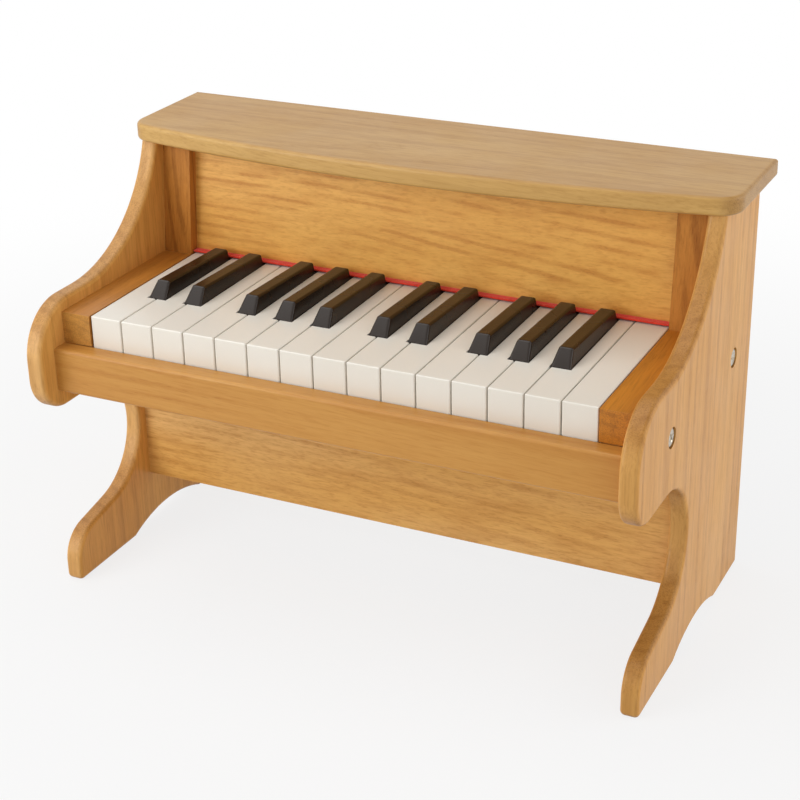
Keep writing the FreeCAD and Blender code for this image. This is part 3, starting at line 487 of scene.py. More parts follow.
@dataclass(frozen=True)
class OakFinish(Finish):
    """Lacquered oak, sawn from round a pith that lies at a point."""

    grain: Grain
    pith: Triple
    lean: Triple = (0.0, 0.02, 0.03)
    tones: Tones = Tones("D8A452", "CE9643")
    # Colour of the edges: partly rubbed wear, partly a painted highlight.
    worn_and_highlight: str = "DDB068"
    face: Triple = (1.0, 0.0, 0.0)
    painted_edge_shading: Colour = (1.0, 1.0, 1.0, 1.0)
    end_grain_and_light_tint: Colour = (0.80, 0.72, 0.62, 1.0)
    ring_scale: float = 46.0
    figure: float = 0.40
    pores: float = 0.7
    smooth: float = 0.36
    rubbed: float = 0.43
    coat: float = 0.08
    coat_rough: float = 0.22
    gloss: float = 0.32
    wear_and_highlight_radius: float = 0.0012
    worn_and_highlight_share: float = 0.12
    dull_share: float = 0.12
    skin_share: float = 0.15
    depth: float = 0.00005

    def material(self, shelf: EffectShelf) -> bpy.types.Material:
        """Makes the wood.

        Args:
            shelf: shared effects.

        Returns:
            The material.
        """
        material, tree, shader, place = self.begin()
        turn = tuple(a + b for a, b in zip(self.grain.value, self.lean))
        inside = tree.add("ShaderNodeMapping", {"Vector": place, "Location": self.pith, "Rotation": turn},
                          vector_type="TEXTURE").outputs["Vector"]
        plank = shelf.place(tree, Effect.PLANK, {
            "Vector": inside, "Light": tone(self.tones.light), "Mid": tone(self.tones.mid),
            "Dark": tone(self.tones.dark), "Ring Scale": self.ring_scale, "Figure": self.figure,
            "Pores": self.pores})
        skin = shelf.place(tree, Effect.LACQUER, {
            "Vector": inside, "Smooth": self.smooth, "Rubbed": self.rubbed})
        ends = shelf.place(tree, Effect.SAWN, {
            "Vector": inside, "Normal": tree.add("ShaderNodeTexCoord").outputs["Normal"], "Face": self.face,
            "Fibres": self.grain.axis(), "Color": plank.outputs["Color"], "Edge Tint": self.painted_edge_shading,
            "End Grain And Light Tint": self.end_grain_and_light_tint})
        wear = shelf.place(tree, Effect.WEAR, {"Vector": inside, "Radius": self.wear_and_highlight_radius})
        # Edges turn lighter: partly rubbed wear, partly a painted highlight.
        worn_and_highlight_mask = tree.math("MULTIPLY", wear.outputs["Mask"], self.worn_and_highlight_share)
        tree.feed(shader.inputs["Base Color"], tree.mix(worn_and_highlight_mask, ends.outputs["Color"], tone(self.worn_and_highlight)))
        dull = tree.math("MULTIPLY", plank.outputs["Dullness"], self.dull_share)
        tree.feed(shader.inputs["Roughness"], tree.math("ADD", skin.outputs["Roughness"], dull))
        peel = tree.math("MULTIPLY", skin.outputs["Height"], self.skin_share)
        self.relief(tree, shader, tree.math("ADD", plank.outputs["Height"], peel), self.depth)
        shader.inputs["Specular IOR Level"].default_value = self.gloss
        shader.inputs["Coat Weight"].default_value = self.coat
        shader.inputs["Coat Roughness"].default_value = self.coat_rough
        return material


@dataclass(frozen=True)
class MouldedFinish(Finish):
    """Moulded plastic with a polished skin."""

    base: str
    shade: str
    # edge is the lighter colour of the edges: partly rubbed wear, partly a painted highlight.
    edge: str
    smooth: float
    rubbed: float
    gloss: float = 0.5
    cloud_scale: float = 16.0
    wear_and_highlight_radius: float = 0.0006
    worn_and_highlight_share: float = 0.3
    depth: float = 0.000006

    def material(self, shelf: EffectShelf) -> bpy.types.Material:
        """Makes the plastic.

        Args:
            shelf: shared effects.

        Returns:
            The material.
        """
        material, tree, shader, place = self.begin()
        cloud = tree.noise(place, self.cloud_scale, 1.0)
        body = tree.mix(tree.span(cloud, (0.25, 0.75), (0.0, 1.0)), tone(self.base), tone(self.shade))
        wear = shelf.place(tree, Effect.WEAR, {"Vector": place, "Radius": self.wear_and_highlight_radius})
        # Edges turn lighter: partly rubbed wear, partly a painted highlight.
        share = tree.math("MULTIPLY", wear.outputs["Mask"], self.worn_and_highlight_share)
        tree.feed(shader.inputs["Base Color"], tree.mix(share, body, tone(self.edge)))
        skin = shelf.place(tree, Effect.LACQUER, {
            "Vector": place, "Smooth": self.smooth, "Rubbed": self.rubbed})
        tree.feed(shader.inputs["Roughness"], skin.outputs["Roughness"])
        self.relief(tree, shader, skin.outputs["Height"], self.depth)
        shader.inputs["Specular IOR Level"].default_value = self.gloss
        return material


@dataclass(frozen=True)
class FeltFinish(Finish):
    """Pressed wool felt."""

    deep: str
    raised: str
    rough: float = 0.95
    sheen: float = 0.25
    sheen_rough: float = 0.5
    depth: float = 0.0004

    def material(self, shelf: EffectShelf) -> bpy.types.Material:
        """Makes the felt.

        Args:
            shelf: shared effects.

        Returns:
            The material.
        """
        material, tree, shader, place = self.begin()
        nap = shelf.place(tree, Effect.NAP, {
            "Vector": place, "Deep": tone(self.deep), "Raised": tone(self.raised)})
        tree.feed(shader.inputs["Base Color"], nap.outputs["Color"])
        self.relief(tree, shader, nap.outputs["Height"], self.depth)
        shader.inputs["Roughness"].default_value = self.rough
        shader.inputs["Sheen Weight"].default_value = self.sheen
        shader.inputs["Sheen Roughness"].default_value = self.sheen_rough
        return material


@dataclass(frozen=True)
class MetalFinish(Finish):
    """Plated, drawn or cast metal."""

    bright: str
    dull: str
    smooth: float
    rough: float
    metallic: float = 1.0
    depth: float = 0.00001

    def material(self, shelf: EffectShelf) -> bpy.types.Material:
        """Makes the metal.

        Args:
            shelf: shared effects.

        Returns:
            The material.
        """
        material, tree, shader, place = self.begin()
        values = {"Vector": place, "Bright": tone(self.bright), "Dull": tone(self.dull),
                  "Smooth": self.smooth, "Rough": self.rough}
        drawn = shelf.place(tree, Effect.DRAWN, values)
        tree.feed(shader.inputs["Base Color"], drawn.outputs["Color"])
        tree.feed(shader.inputs["Roughness"], drawn.outputs["Roughness"])
        self.relief(tree, shader, drawn.outputs["Height"], self.depth)
        shader.inputs["Metallic"].default_value = self.metallic
        return material


@dataclass(frozen=True)
class FibreboardFinish(Finish):
    """Brown hardboard with pressed fibres."""

    base: str
    fleck: str
    fibre_scale: Triple = (420.0, 420.0, 900.0)
    cloud_scale: float = 18.0
    smooth: float = 0.5
    rubbed: float = 0.68
    gloss: float = 0.25
    depth: float = 0.00008

    def material(self, shelf: EffectShelf) -> bpy.types.Material:
        """Makes the hardboard.

        Args:
            shelf: shared effects.

        Returns:
            The material.
        """
        material, tree, shader, place = self.begin()
        fibres = tree.noise(place, self.fibre_scale, 4.0, 0.7)
        cloud = tree.noise(place, self.cloud_scale)
        share = tree.math("MULTIPLY", tree.span(fibres, (0.4, 0.75), (0.0, 1.0)),
                          tree.span(cloud, (0.3, 0.7), (0.5, 1.0)))
        tree.feed(shader.inputs["Base Color"], tree.mix(share, tone(self.base), tone(self.fleck)))
        skin = shelf.place(tree, Effect.LACQUER, {
            "Vector": place, "Smooth": self.smooth, "Rubbed": self.rubbed})
        tree.feed(shader.inputs["Roughness"], skin.outputs["Roughness"])
        self.relief(tree, shader, fibres, self.depth)
        shader.inputs["Specular IOR Level"].default_value = self.gloss
        return material


def dress(node: str, material: bpy.types.Material) -> None:
    """Gives a CAD node its material.

    Args:
        node: name of the node.
        material: what it is made of.
    """
    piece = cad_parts[node]
    piece.data.materials.clear()
    piece.data.materials.append(material)
    LOG.info("dressed %s in %s", node, material.name)


def new_piece(name: str, mesh: bmesh.types.BMesh, material: bpy.types.Material) -> bpy.types.Object:
    """Turns a built mesh into an object.

    Args:
        name: name of the piece.
        mesh: the built mesh, which is freed.
        material: what it is made of.

    Returns:
        The new object.
    """
    data = bpy.data.meshes.new(name)
    bmesh.ops.recalc_face_normals(mesh, faces=mesh.faces)
    mesh.to_mesh(data)
    mesh.free()
    data.materials.append(material)
    piece = stand(name, data)
    LOG.info("built %s with %d faces", name, len(data.polygons))
    return piece


def skinned(name: str, loops: list[list[Triple]], material: bpy.types.Material,
            smooth: bool = True) -> bpy.types.Object:
    """Builds a piece as the skin over a row of loops of points, closed at both ends.

    Args:
        name: name of the piece.
        loops: loops with the same number of points.
        material: what it is made of.
        smooth: whether the skin is shaded smooth.

    Returns:
        The new object.
    """
    mesh = bmesh.new()
    rows = [[mesh.verts.new(point) for point in loop] for loop in loops]
    for first, second in zip(rows, rows[1:]):
        for index, vertex in enumerate(first):
            after = (index + 1) % len(first)
            face = mesh.faces.new((vertex, first[after], second[after], second[index]))
            face.smooth = smooth
    mesh.faces.new(rows[0][::-1])
    mesh.faces.new(rows[-1])
    return new_piece(name, mesh, material)


def fix_to_case(piece: bpy.types.Object, node: str) -> None:
    """Fixes a piece to the case in place of a CAD node.

    Args:
        piece: the new piece.
        node: the CAD node that it stands for.
    """
    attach(piece, CASE_BODY)
    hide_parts(node)


@dataclass
class CaseBoards:
    """Boards of the case, each sawn from its own place in the log, with tones that also carry painted light
    and shade.
    """

    shelf: EffectShelf
    # Tones carry painted light and shade: the left panel is lighter for its shaded inner face, both side
    # panels are paler as a painted sheen, the lid is paler as a paler wood and a painted sheen, the key
    # blocks are darker as painted shade, the fallboard and kick panel are lighter as painted light, the key
    # slip is darker as painted shade, and the battens are darker as a browner wood and painted shade.
    left: Tones = Tones("E5AB5B", "DD9F4D", "B37935")
    right: Tones = Tones("E1A95E", "D99E51", "B37935")
    lid: Tones = Tones("C69D5E", "BC9154", "A07438")
    left_block: Tones = Tones("BE8136", "B6772D", "925A1E")
    right_block: Tones = Tones("C8822B", "C07623", "925A1E")
    fall: Tones = Tones("EFB85F", "E7AC50", "C07A29")
    slip: Tones = Tones("C89248", "BD853B")
    kick: Tones = Tones("E6B570", "DCA555")
    batten: Tones = Tones("CA893E", "BC792E", "955B21")
    bare: Tones = Tones("DDBE90", "CFA978", "AE8453")
    # Painted light and shade on the board edges: the left panel's edges lighter, the right panel's edges
    # darker, the lid's edges lighter.
    left_edge_painted_light: Colour = (0.93, 1.04, 1.50, 1.0)
    right_edge_painted_shade: Colour = (0.85, 0.885, 0.95, 1.0)
    lid_edge_painted_light: Colour = (1.12, 1.17, 1.14, 1.0)
    # left_block_end_painted_light lightens the left block's front as painted light, against its top in
    # painted shade.
    left_block_end_painted_light: Colour = (1.15, 1.35, 1.70, 1.0)
    right_block_end: Colour = (1.00, 1.00, 1.05, 1.0)

    def finishes(self) -> dict[str, Finish]:
        """Says what each board is finished in.

        Returns:
            Finish by node name.
        """
        upright = {"figure": 0.34, "ring_scale": 34.0, "gloss": 0.22}
        left = {"tones": self.left, "painted_edge_shading": self.left_edge_painted_light, **upright}
        right = {"tones": self.right, "painted_edge_shading": self.right_edge_painted_shade, **upright}
        lid = {"tones": self.lid, "figure": 0.22, "pores": 0.5, "face": (0.0, 0.0, 1.0),
               "painted_edge_shading": self.lid_edge_painted_light}
        fall = {"tones": self.fall, "figure": 0.56}
        kick = {"tones": self.kick, "figure": 0.26, "ring_scale": 40.0}
        left_block = {"tones": self.left_block, "end_grain_and_light_tint": self.left_block_end_painted_light}
        right_block = {"tones": self.right_block, "end_grain_and_light_tint": self.right_block_end, "gloss": 0.2}
        batten = {"tones": self.batten, "figure": 0.6, "pores": 1.0, "ring_scale": 70.0, "gloss": 0.15,
                  "coat": 0.0}
        bare = {"tones": self.bare, "smooth": 0.55, "rubbed": 0.7, "coat": 0.0}
        along, upward, deep = Grain.ALONG, Grain.UPRIGHT, Grain.DEEP
        return {
            "left_side_panel": OakFinish("oak_left_side_painted_light", upward, (-0.17, 0.03, 0.1),
                                         (0.03, 0.0, 0.02), **left),
            "right_side_panel": OakFinish("oak_right_side", upward, (0.165, 0.04, 0.1),
                                          (0.02, 0.0, 0.01), **right),
            "lid": OakFinish("oak_lid", along, (0.1, 0.05, 0.21), (0.0, 0.05, 0.015), **lid),
            "fallboard": OakFinish("oak_fallboard_painted_light", along, (0.17, 0.102, 0.178), (0.0, 0.0, 0.16), **fall),
            "key_slip": OakFinish("oak_key_slip_painted_shade", along, (-0.05, -0.02, 0.24), (0.0, 0.03, 0.02), self.slip),
            "kick_panel": OakFinish("oak_kick_panel_painted_light", along, (0.18, 0.045, 0.02), (0.0, 0.0, 0.12), **kick),
            "left_key_block": OakFinish("oak_left_block_painted_shade", deep, (-0.2, 0.0, 0.12),
                                        (0.03, 0.0, 0.02), **left_block),
            "right_key_block": OakFinish("oak_right_block_painted_shade", deep, (0.17, 0.0, 0.13),
                                         (0.02, 0.0, 0.03), **right_block),
            "left_corner_batten": OakFinish("oak_left_batten", upward, (-0.15, 0.1, 0.2),
                                            (0.04, 0.0, 0.02), **batten),
            "right_corner_batten": OakFinish("oak_right_batten", upward, (0.21, 0.11, 0.2),
                                             (0.03, 0.0, 0.05), **batten),
            "key_bed": OakFinish("bare_key_bed", along, (0.0, 0.02, 0.1), **bare),
            "top_rail": OakFinish("bare_top_rail", along, (0.0, 0.15, 0.22), **bare),
            "back_panel": FibreboardFinish("brown_hardboard", "835A2E", "A17742"),
        }

    def build(self) -> None:
        """Dresses every board."""
        for node, finish in self.finishes().items():
            dress(node, finish.material(self.shelf))


@dataclass
class Keyboard:
    """White keys, and black keys whose caps fall a little towards the felt."""

    shelf: EffectShelf
    key_top: float = 0.1964
    cap_gap: float = 0.0004
    hair: float = 0.00002
    cap_fall: float = 0.30
    flank_lean: float = 0.20
    # The third tone of each plastic is its edge colour: partly rubbed wear, partly a painted highlight.
    ivory: MouldedFinish = MouldedFinish("ivory_plastic", "E6E1D6", "E3DDD1", "EDE9E0", 0.28, 0.31)
    ebony: MouldedFinish = MouldedFinish("ebony_plastic", "241910", "1F150D", "2C2016", 0.25, 0.29, 0.33)

    def black_key(self, node: str, material: bpy.types.Material) -> None:
        """Builds a black key on the lever of its CAD node, with a cap that reaches back to the felt.

        Args:
            node: CAD node that it stands for.
            material: the plastic.
        """
        felt_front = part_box("fallboard_felt")[0].y
        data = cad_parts[node].data.copy()
        foot = self.key_top - self.hair
        cap = [vertex for vertex in data.vertices if vertex.co.z > foot and vertex.co.y < felt_front]
        front, back = min(point.co.y for point in cap), max(point.co.y for point in cap)
        left, right = min(point.co.x for point in cap), max(point.co.x for point in cap)
        middle, half = (left + right) / 2, (right - left) / 2
        stretch = (felt_front - self.cap_gap - front) / (back - front)
        for vertex in cap:
            x, y, z = vertex.co
            before = z - self.key_top
            after = before * (1 - self.cap_fall * (y - front) / (back - front))
            widen = (half - self.flank_lean * after) / (half - self.flank_lean * before)
            vertex.co = (middle + (x - middle) * widen, front + (y - front) * stretch, self.key_top + after)
        data.materials.clear()
        data.materials.append(material)
        piece = stand(f"{node}_sloped", data)
        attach(piece, f"{node}_lever")
        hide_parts(node)
        LOG.info("built %s with %d faces", piece.name, len(data.polygons))

    def build(self) -> None:
        """Dresses the white keys and builds the black ones."""
        ivory = self.ivory.material(self.shelf)
        ebony = self.ebony.material(self.shelf)
        for node in sorted(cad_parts):
            if node.startswith("white_key"):
                dress(node, ivory)
            elif node.startswith("black_key"):
                self.black_key(node, ebony)


@dataclass
class FeltStrips:
    """Felts under the fallboard, the levers and the key tails."""

    shelf: EffectShelf
    step: float = 0.0016
    corner: float = 0.0007
    corner_share: float = 0.42
    corner_points: int = 4
    fuzz: float = 0.00016
    tuft_scale: Triple = (700, 1500, 1500)
    red: FeltFinish = FeltFinish("red_felt", "E4260D", "FB4E32")
    grey: FeltFinish = FeltFinish("grey_felt", "5E5C57", "86837C")

    def section(self, low: Vector, high: Vector) -> list[Pair]:
        """Rounded rectangle across a strip.

        Args:
            low: lowest corner of the strip.
            high: highest corner of the strip.

        Returns:
            Points across the strip, front to back and up.
        """
        corner = min(self.corner, self.corner_share * (high.y - low.y), self.corner_share * (high.z - low.z))
        points = []
        centres = ((high.y, high.z, 0.0), (low.y, high.z, 0.5), (low.y, low.z, 1.0), (high.y, low.z, 1.5))
        for y, z, start in centres:
            inset_y = y - math.copysign(corner, y - (low.y + high.y) / 2)
            inset_z = z - math.copysign(corner, z - (low.z + high.z) / 2)
            for number in range(self.corner_points + 1):
                angle = math.pi * (start + 0.5 * number / self.corner_points)
                points.append((inset_y + corner * math.cos(angle), inset_z + corner * math.sin(angle)))
        return points

    def strip(self, name: str, node: str, slot: str, material: bpy.types.Material) -> None:
        """Builds one strip in the space of its CAD solid, with a soft uneven skin.

        Args:
            name: name of the piece.
            node: CAD node that it stands for.
            slot: the record's material slot; not used.
            material: the felt.
        """
        low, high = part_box(node)
        section = self.section(low, high)
        middle = ((low.y + high.y) / 2, (low.z + high.z) / 2)
        stations = int((high.x - low.x) / self.step)
        loops = []
        for station in range(stations + 1):
            x = low.x + (high.x - low.x) * station / stations
            loop = []
            for y, z in section:
                tuft = noise.noise(Vector((x, y, z)) * Vector(self.tuft_scale))
                sink = self.fuzz * (0.5 + 0.5 * tuft)
                towards = Vector((middle[0] - y, middle[1] - z)).normalized()
                loop.append((x, y + towards.x * sink, z + towards.y * sink))
            loops.append(loop)
        fix_to_case(skinned(name, loops, material), node)

    def build(self) -> None:
        """Builds the three felts."""
        red = self.red.material(self.shelf)
        grey = self.grey.material(self.shelf)
        self.strip("fallboard_felt_strip", "fallboard_felt", "red_felt", red)
        self.strip("key_stop_felt_strip", "key_stop_felt", "grey_felt", grey)
        self.strip("key_rest_felt_strip", "key_rest_felt", "grey_felt", grey)


@dataclass
class CrossHead:
    """Bolt or screw with a cross recess, built with its head towards +Z and its seat at z 0."""

    diameter: float
    length: float
    head_diameter: float
    head_thick: float
    pitch: float
    round_over: float
    sides: int = 40
    rim_steps: int = 4
    thread_share: float = 0.3
    arm_share: float = 0.30
    slot_share: float = 0.075
    floor_share: float = 0.08
    floor_scale: float = 0.3

    def ring(self, mesh: bmesh.types.BMesh, radius: float, height: float) -> list[bmesh.types.BMVert]:
        """Circle of points at a height."""
        turns = [2 * math.pi * i / self.sides for i in range(self.sides)]
        return [mesh.verts.new((radius * math.cos(a), radius * math.sin(a), height)) for a in turns]

    def profile(self) -> list[Pair]:
        """Outline from the rim of the head down to the tip, with thread ridges.

        Returns:
            Radius and height of each point.
        """
        head = self.head_diameter / 2
        points = []
        for number in range(self.rim_steps + 1):
            angle = math.pi / 2 * number / self.rim_steps
            points.append((head - self.round_over * (1 - math.sin(angle)),
                           self.head_thick - self.round_over * (1 - math.cos(angle))))
        points += [(head, 0.0), (self.diameter / 2, 0.0)]
        crest, root = self.diameter / 2, self.diameter / 2 - self.thread_share * self.pitch
        height = -2 * self.pitch
        while height > -self.length + 2 * self.pitch:
            points += [(crest, height), (root, height - self.pitch / 2)]
            height -= self.pitch
        points += [(crest, -self.length + self.pitch), (root, -self.length)]
        return points

    def cross(self) -> list[Pair]:
        """Outline of the recess, counter-clockwise.

        Returns:
            Points across the head.
        """
        arm, half = self.head_diameter * self.arm_share, self.head_diameter * self.slot_share
        quarter = [(arm, -half), (arm, half), (half, half)]
        points = []
        for number in range(4):
            turn = Matrix.Rotation(number * math.pi / 2, 2)
            points += [tuple(turn @ Vector(p)) for p in quarter]
        return points

    def add(self, mesh: bmesh.types.BMesh, place: Matrix) -> None:
        """Adds one fastener to a mesh.

        Args:
            mesh: the mesh that takes it.
            place: from the fastener's own space to the shared frame.
        """
        before = set(mesh.verts)
        rings = [self.ring(mesh, radius, height) for radius, height in self.profile()]
        for first, second in zip(rings, rings[1:]):
            for index in range(self.sides):
                after = (index + 1) % self.sides
                face = mesh.faces.new((first[index], second[index], second[after], first[after]))
                face.smooth = True
        mesh.faces.new(rings[-1])
        top, floor, scale = self.head_thick, self.head_thick * self.floor_share, self.floor_scale
        mouth = [mesh.verts.new((x, y, top)) for x, y in self.cross()]
        bottom = [mesh.verts.new((x * scale, y * scale, floor)) for x, y in self.cross()]
        count = len(mouth)
        for index in range(count):
            after = (index + 1) % count
            mesh.faces.new((mouth[index], mouth[after], bottom[after], bottom[index]))
        mesh.faces.new(bottom)
        rim = [mesh.edges.get((rings[0][i], rings[0][(i + 1) % self.sides])) for i in range(self.sides)]
        lips = [mesh.edges.get((mouth[i], mouth[(i + 1) % count])) for i in range(count)]
        bmesh.ops.triangle_fill(mesh, use_beauty=True, use_dissolve=False, edges=rim + lips)
        bmesh.ops.transform(mesh, matrix=place, verts=[v for v in mesh.verts if v not in before])


@dataclass
class Fasteners:
    """Case bolts in the side panels and screws in the back panel, with cross recesses."""

    shelf: EffectShelf
    bolt: CrossHead = field(default_factory=lambda: CrossHead(0.006, 0.042, 0.0125, 0.0025, 0.001, 0.0015))
    screw: CrossHead = field(default_factory=lambda: CrossHead(0.003, 0.012, 0.006, 0.002, 0.0011, 0.0012))
    bolt_turns: Pair = (0.5, 1.4)
    column_turn: float = 0.7
    row_turn: float = 0.4
    # The zinc's warm tones are partly a painted reflection of the wood round it.
    zinc: MetalFinish = MetalFinish("zinc_plate_painted_reflection", "C2B9A9", "A69D8D", 0.24, 0.36)

    def bolts(self, material: bpy.types.Material) -> None:
        """Builds the four case bolts where the CAD has them.

        Args:
            material: the plating.
        """
        low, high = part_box("case_bolts")
        radius = self.bolt.head_diameter / 2
        seat = high.x - self.bolt.head_thick
        mesh = bmesh.new()
        for side in (1, -1):
            for y, turn in zip((low.y + radius, high.y - radius), self.bolt_turns):
                spin = Matrix.Rotation(turn, 4, "Z")
                axis = Matrix.Rotation(side * math.pi / 2, 4, "Y")
                place = Matrix.Translation((side * seat, y, (low.z + high.z) / 2)) @ axis @ spin
                self.bolt.add(mesh, place)
        fix_to_case(new_piece("case_bolt_set", mesh, material), "case_bolts")

    def back_screws(self, material: bpy.types.Material) -> None:
        """Builds the six screws of the back panel where the CAD has them.

        Args:
            material: the plating.
        """
        low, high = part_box("back_screws")
        radius = self.screw.head_diameter / 2
        seat = high.y - self.screw.head_thick
        mesh = bmesh.new()
        for row, z in enumerate((low.z + radius, high.z - radius)):
            for column, x in enumerate((low.x + radius, (low.x + high.x) / 2, high.x - radius)):
                spin = Matrix.Rotation(self.column_turn * column + self.row_turn * row, 4, "Z")
                axis = Matrix.Rotation(-math.pi / 2, 4, "X")
                self.screw.add(mesh, Matrix.Translation((x, seat, z)) @ axis @ spin)
        fix_to_case(new_piece("back_screw_set", mesh, material), "back_screws")

    def build(self) -> None:
        """Builds the fasteners that show and dresses the others."""
        zinc = self.zinc.material(self.shelf)
        self.bolts(zinc)
        self.back_screws(zinc)
        for node in ("barrel_nuts", "lid_screws", "tone_block_screws"):
            dress(node, zinc)


@dataclass
class ReturnSpring:
    """Spring-steel comb: a fixed strip, and a finger under each lever."""

    shelf: EffectShelf
    thick: float = 0.0005
    strip_depth: float = 0.012
    stations: int = 16
    semitones: int = 25
    octave: int = 12
    sharps: tuple[int, ...] = (1, 3, 6, 8, 10)
    tip_reach: float = 0.0001
    least_width: float = 0.001
    steel: MetalFinish = MetalFinish("spring_steel", "B6BAC0", "888D94", 0.20, 0.38)

    def levers(self) -> list[str]:
        """Names the lever over each finger.

        Returns:
            Bodies from the lowest note to the highest.
        """
        counts = {"white": 0, "black": 0}
        names = []
        for semitone in range(self.semitones):
            colour = "black" if semitone % self.octave in self.sharps else "white"
            counts[colour] += 1
            names.append(f"{colour}_key_{counts[colour]:02d}_lever")
        return names

    def strip(self, material: bpy.types.Material) -> None:
        """Builds the strip that lies on the key bed.

        Args:
            material: the steel.
        """
        low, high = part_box("return_spring")
        front, top = high.y - self.strip_depth, low.z + self.thick
        corners = ((front, low.z), (high.y, low.z), (high.y, top), (front, top))
        loops = [[(x, y, z) for y, z in corners] for x in (low.x, high.x)]
        fix_to_case(skinned("return_spring_strip", loops, material, smooth=False), "return_spring")

    def finger(self, number: int, left: float, right: float,
               material: bpy.types.Material) -> None:
        """Builds one finger, which slopes up from the case towards its lever.

        Args:
            number: which finger, from the left.
            left: where its left side lies.
            right: where its right side lies.
            material: the steel.
        """
        low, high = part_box("return_spring")
        root = Vector(((left + right) / 2, high.y - self.strip_depth, low.z))
        tip = Vector((root.x, low.y, high.z - self.thick))
        corners = ((left, 0.0), (right, 0.0), (right, self.thick), (left, self.thick))
        spots = [root.lerp(tip, station / self.stations) for station in range(self.stations + 1)]
        loops = [[(x, spot.y, spot.z + rise) for x, rise in corners] for spot in spots]
        piece = skinned(f"return_spring_finger_{number:02d}", loops, material, smooth=False)
        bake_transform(piece)

    def build(self) -> None:
        """Builds the strip and a finger wherever the CAD has one."""
        steel = self.steel.material(self.shelf)
        low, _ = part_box("return_spring")
        points = [vertex.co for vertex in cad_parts["return_spring"].data.vertices]
        flanks: list[float] = []
        for x in sorted(point.x for point in points if point.y < low.y + self.tip_reach):
            if not flanks or x - flanks[-1] > self.least_width:
                flanks.append(x)
        self.strip(steel)
        for number, (left, right, lever) in enumerate(zip(flanks[::2], flanks[1::2], self.levers()), 1):
            self.finger(number, left, right, steel)


@dataclass
class Action:
    """What moves and sounds inside the case."""

    shelf: EffectShelf
    steel: MetalFinish = MetalFinish("drawn_steel", "C3C6CA", "94989D", 0.18, 0.36)
    cast: MetalFinish = MetalFinish("cast_bar", "6A6B6E", "4C4D50", 0.45, 0.65)
    comb: MouldedFinish = MouldedFinish("natural_plastic", "D8D2C2", "CCC5B2", "E4DFD2", 0.38, 0.55)

    def build(self) -> None:
        """Dresses the action."""
        steel = self.steel.material(self.shelf)
        for node in ("key_pivot_rod", "tone_rods"):
            dress(node, steel)
        dress("tone_block", self.cast.material(self.shelf))
        dress("pivot_comb", self.comb.material(self.shelf))


@dataclass(frozen=True)
class Softbox:
    """Square lamp that faces a point near the piano."""

    name: str
    place: Triple
    size: float
    watts: float
    aim: Triple = (0.0, 0.0, 0.14)

    def hang(self) -> None:
        """Hangs the lamp in the scene."""
        lamp = bpy.data.lights.new(self.name, "AREA")
        lamp.size = self.size
        lamp.energy = self.watts
        item = stand(self.name, lamp)
        item.location = self.place
        item.rotation_euler = (Vector(self.aim) - Vector(self.place)).to_track_quat("-Z", "Y").to_euler()


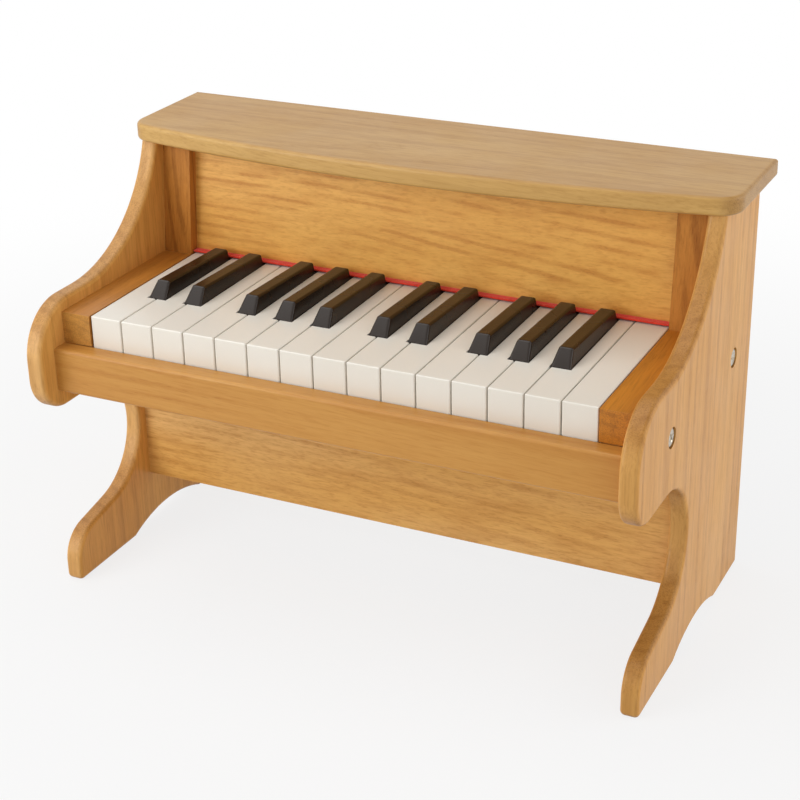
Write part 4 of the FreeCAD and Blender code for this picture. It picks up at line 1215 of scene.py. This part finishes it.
@dataclass
class Studio:
    """Pale floor, soft light and the camera at the photograph's angle."""

    camera_place: Triple = (0.47566, -0.95647, 0.62911)
    azimuth: float = 26.287
    elevation: float = 25.014
    roll: float = -1.225
    lens: float = 80.683
    sensor: float = 36.0
    floor_radius: float = 9.0
    floor_sides: int = 96
    sky: float = 0.36
    paper: float = 0.66
    paper_rough: float = 0.9
    near_glow: float = 0.80
    near_radius: float = 0.30
    far_radius: float = 0.90
    front_lamp: Softbox = Softbox("front_softbox", (-0.84, -1.08, 0.60), 1.0, 11.4)
    right_lamp: Softbox = Softbox("right_softbox", (1.5, 0.50, 0.64), 1.3, 8.8)
    fill_lamp: Softbox = Softbox("fill_softbox", (1.25, -1.0, 0.55), 1.0, 4.0)
    top_lamp: Softbox = Softbox("top_softbox", (-0.55, -0.05, 1.75), 1.6, 13.4)

    def floor(self) -> None:
        """Lays a wide round floor that keeps a soft shadow near the piano and is white further out."""
        mesh = bmesh.new()
        bmesh.ops.create_circle(mesh, cap_ends=True, segments=self.floor_sides, radius=self.floor_radius)
        data = bpy.data.meshes.new("studio_floor")
        mesh.to_mesh(data)
        mesh.free()
        material = bpy.data.materials.new("studio_paper")
        tree = empty_tree(material)
        paper = tree.add("ShaderNodeBsdfPrincipled", {"Base Color": (*[self.paper] * 3, 1.0),
                                                      "Roughness": self.paper_rough})
        glow = tree.add("ShaderNodeEmission", {"Color": (1.0, 1.0, 1.0, 1.0), "Strength": 1.0})
        away = tree.vector("LENGTH", tree.add("ShaderNodeTexCoord").outputs["Object"], output="Value")
        white = tree.span(away, (self.near_radius, self.far_radius), (self.near_glow, 1.0))
        blend = tree.add("ShaderNodeMixShader")
        tree.feed(blend.inputs[0], tree.math("MULTIPLY", self.seen(tree), white))
        tree.feed(blend.inputs[1], paper.outputs[0])
        tree.feed(blend.inputs[2], glow.outputs[0])
        tree.add("ShaderNodeOutputMaterial", {"Surface": blend.outputs[0]})
        data.materials.append(material)
        stand("studio_floor", data)

    def seen(self, tree: Tree) -> bpy.types.NodeSocket:
        """Tells the rays that show a surface directly, mirrored or through glass.

        Args:
            tree: the tree that asks.

        Returns:
            Socket of a value that is 1 for those rays.
        """
        path = tree.add("ShaderNodeLightPath")
        shown = tree.math("MAXIMUM", path.outputs["Is Camera Ray"], path.outputs["Is Glossy Ray"])
        return tree.math("MAXIMUM", shown, path.outputs["Is Transmission Ray"])

    def world(self) -> None:
        """Even white surroundings: full white where seen, softer as light."""
        world = bpy.data.worlds.new("studio_white")
        tree = empty_tree(world)
        strength = tree.add("ShaderNodeMapRange", {
            "Value": self.seen(tree), "To Min": self.sky, "To Max": 1.0}).outputs["Result"]
        glow = tree.add("ShaderNodeBackground", {"Color": (1.0, 1.0, 1.0, 1.0), "Strength": strength})
        tree.add("ShaderNodeOutputWorld", {"Surface": glow.outputs[0]})
        bpy.context.scene.world = world

    def camera(self) -> None:
        """Sets the camera as it was fitted to the photograph."""
        azimuth, elevation, roll = (math.radians(a) for a in (self.azimuth, self.elevation, self.roll))
        back = Vector((math.sin(azimuth) * math.cos(elevation), -math.cos(azimuth) * math.cos(elevation),
                       math.sin(elevation)))
        right = Vector((math.cos(azimuth), math.sin(azimuth), 0.0))
        up = back.cross(right)
        turned_right = right * math.cos(roll) + up * math.sin(roll)
        turned_up = up * math.cos(roll) - right * math.sin(roll)
        data = bpy.data.cameras.new("studio_camera")
        data.lens = self.lens
        data.sensor_width = self.sensor
        camera = stand("studio_camera", data)
        axes = Matrix((turned_right, turned_up, back)).transposed()
        camera.matrix_world = Matrix.Translation(self.camera_place) @ axes.to_4x4()
        bpy.context.scene.camera = camera

    def build(self) -> None:
        """Sets up floor, light and camera."""
        self.floor()
        self.world()
        for lamp in (self.front_lamp, self.right_lamp, self.top_lamp, self.fill_lamp):
            lamp.hang()
        self.camera()
        bpy.context.scene.view_settings.view_transform = "Standard"


def main() -> None:
    """Builds the looks piece by piece."""
    logging.basicConfig(level=logging.INFO, format="%(message)s")
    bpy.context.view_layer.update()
    shelf = EffectShelf()
    assemblies = (CaseBoards(shelf), Keyboard(shelf), FeltStrips(shelf), Fasteners(shelf),
                  ReturnSpring(shelf), Action(shelf), Studio())
    for assembly in assemblies:
        assembly.build()
        LOG.info("finished %s", type(assembly).__name__)


if __name__ == "__main__":
    main()
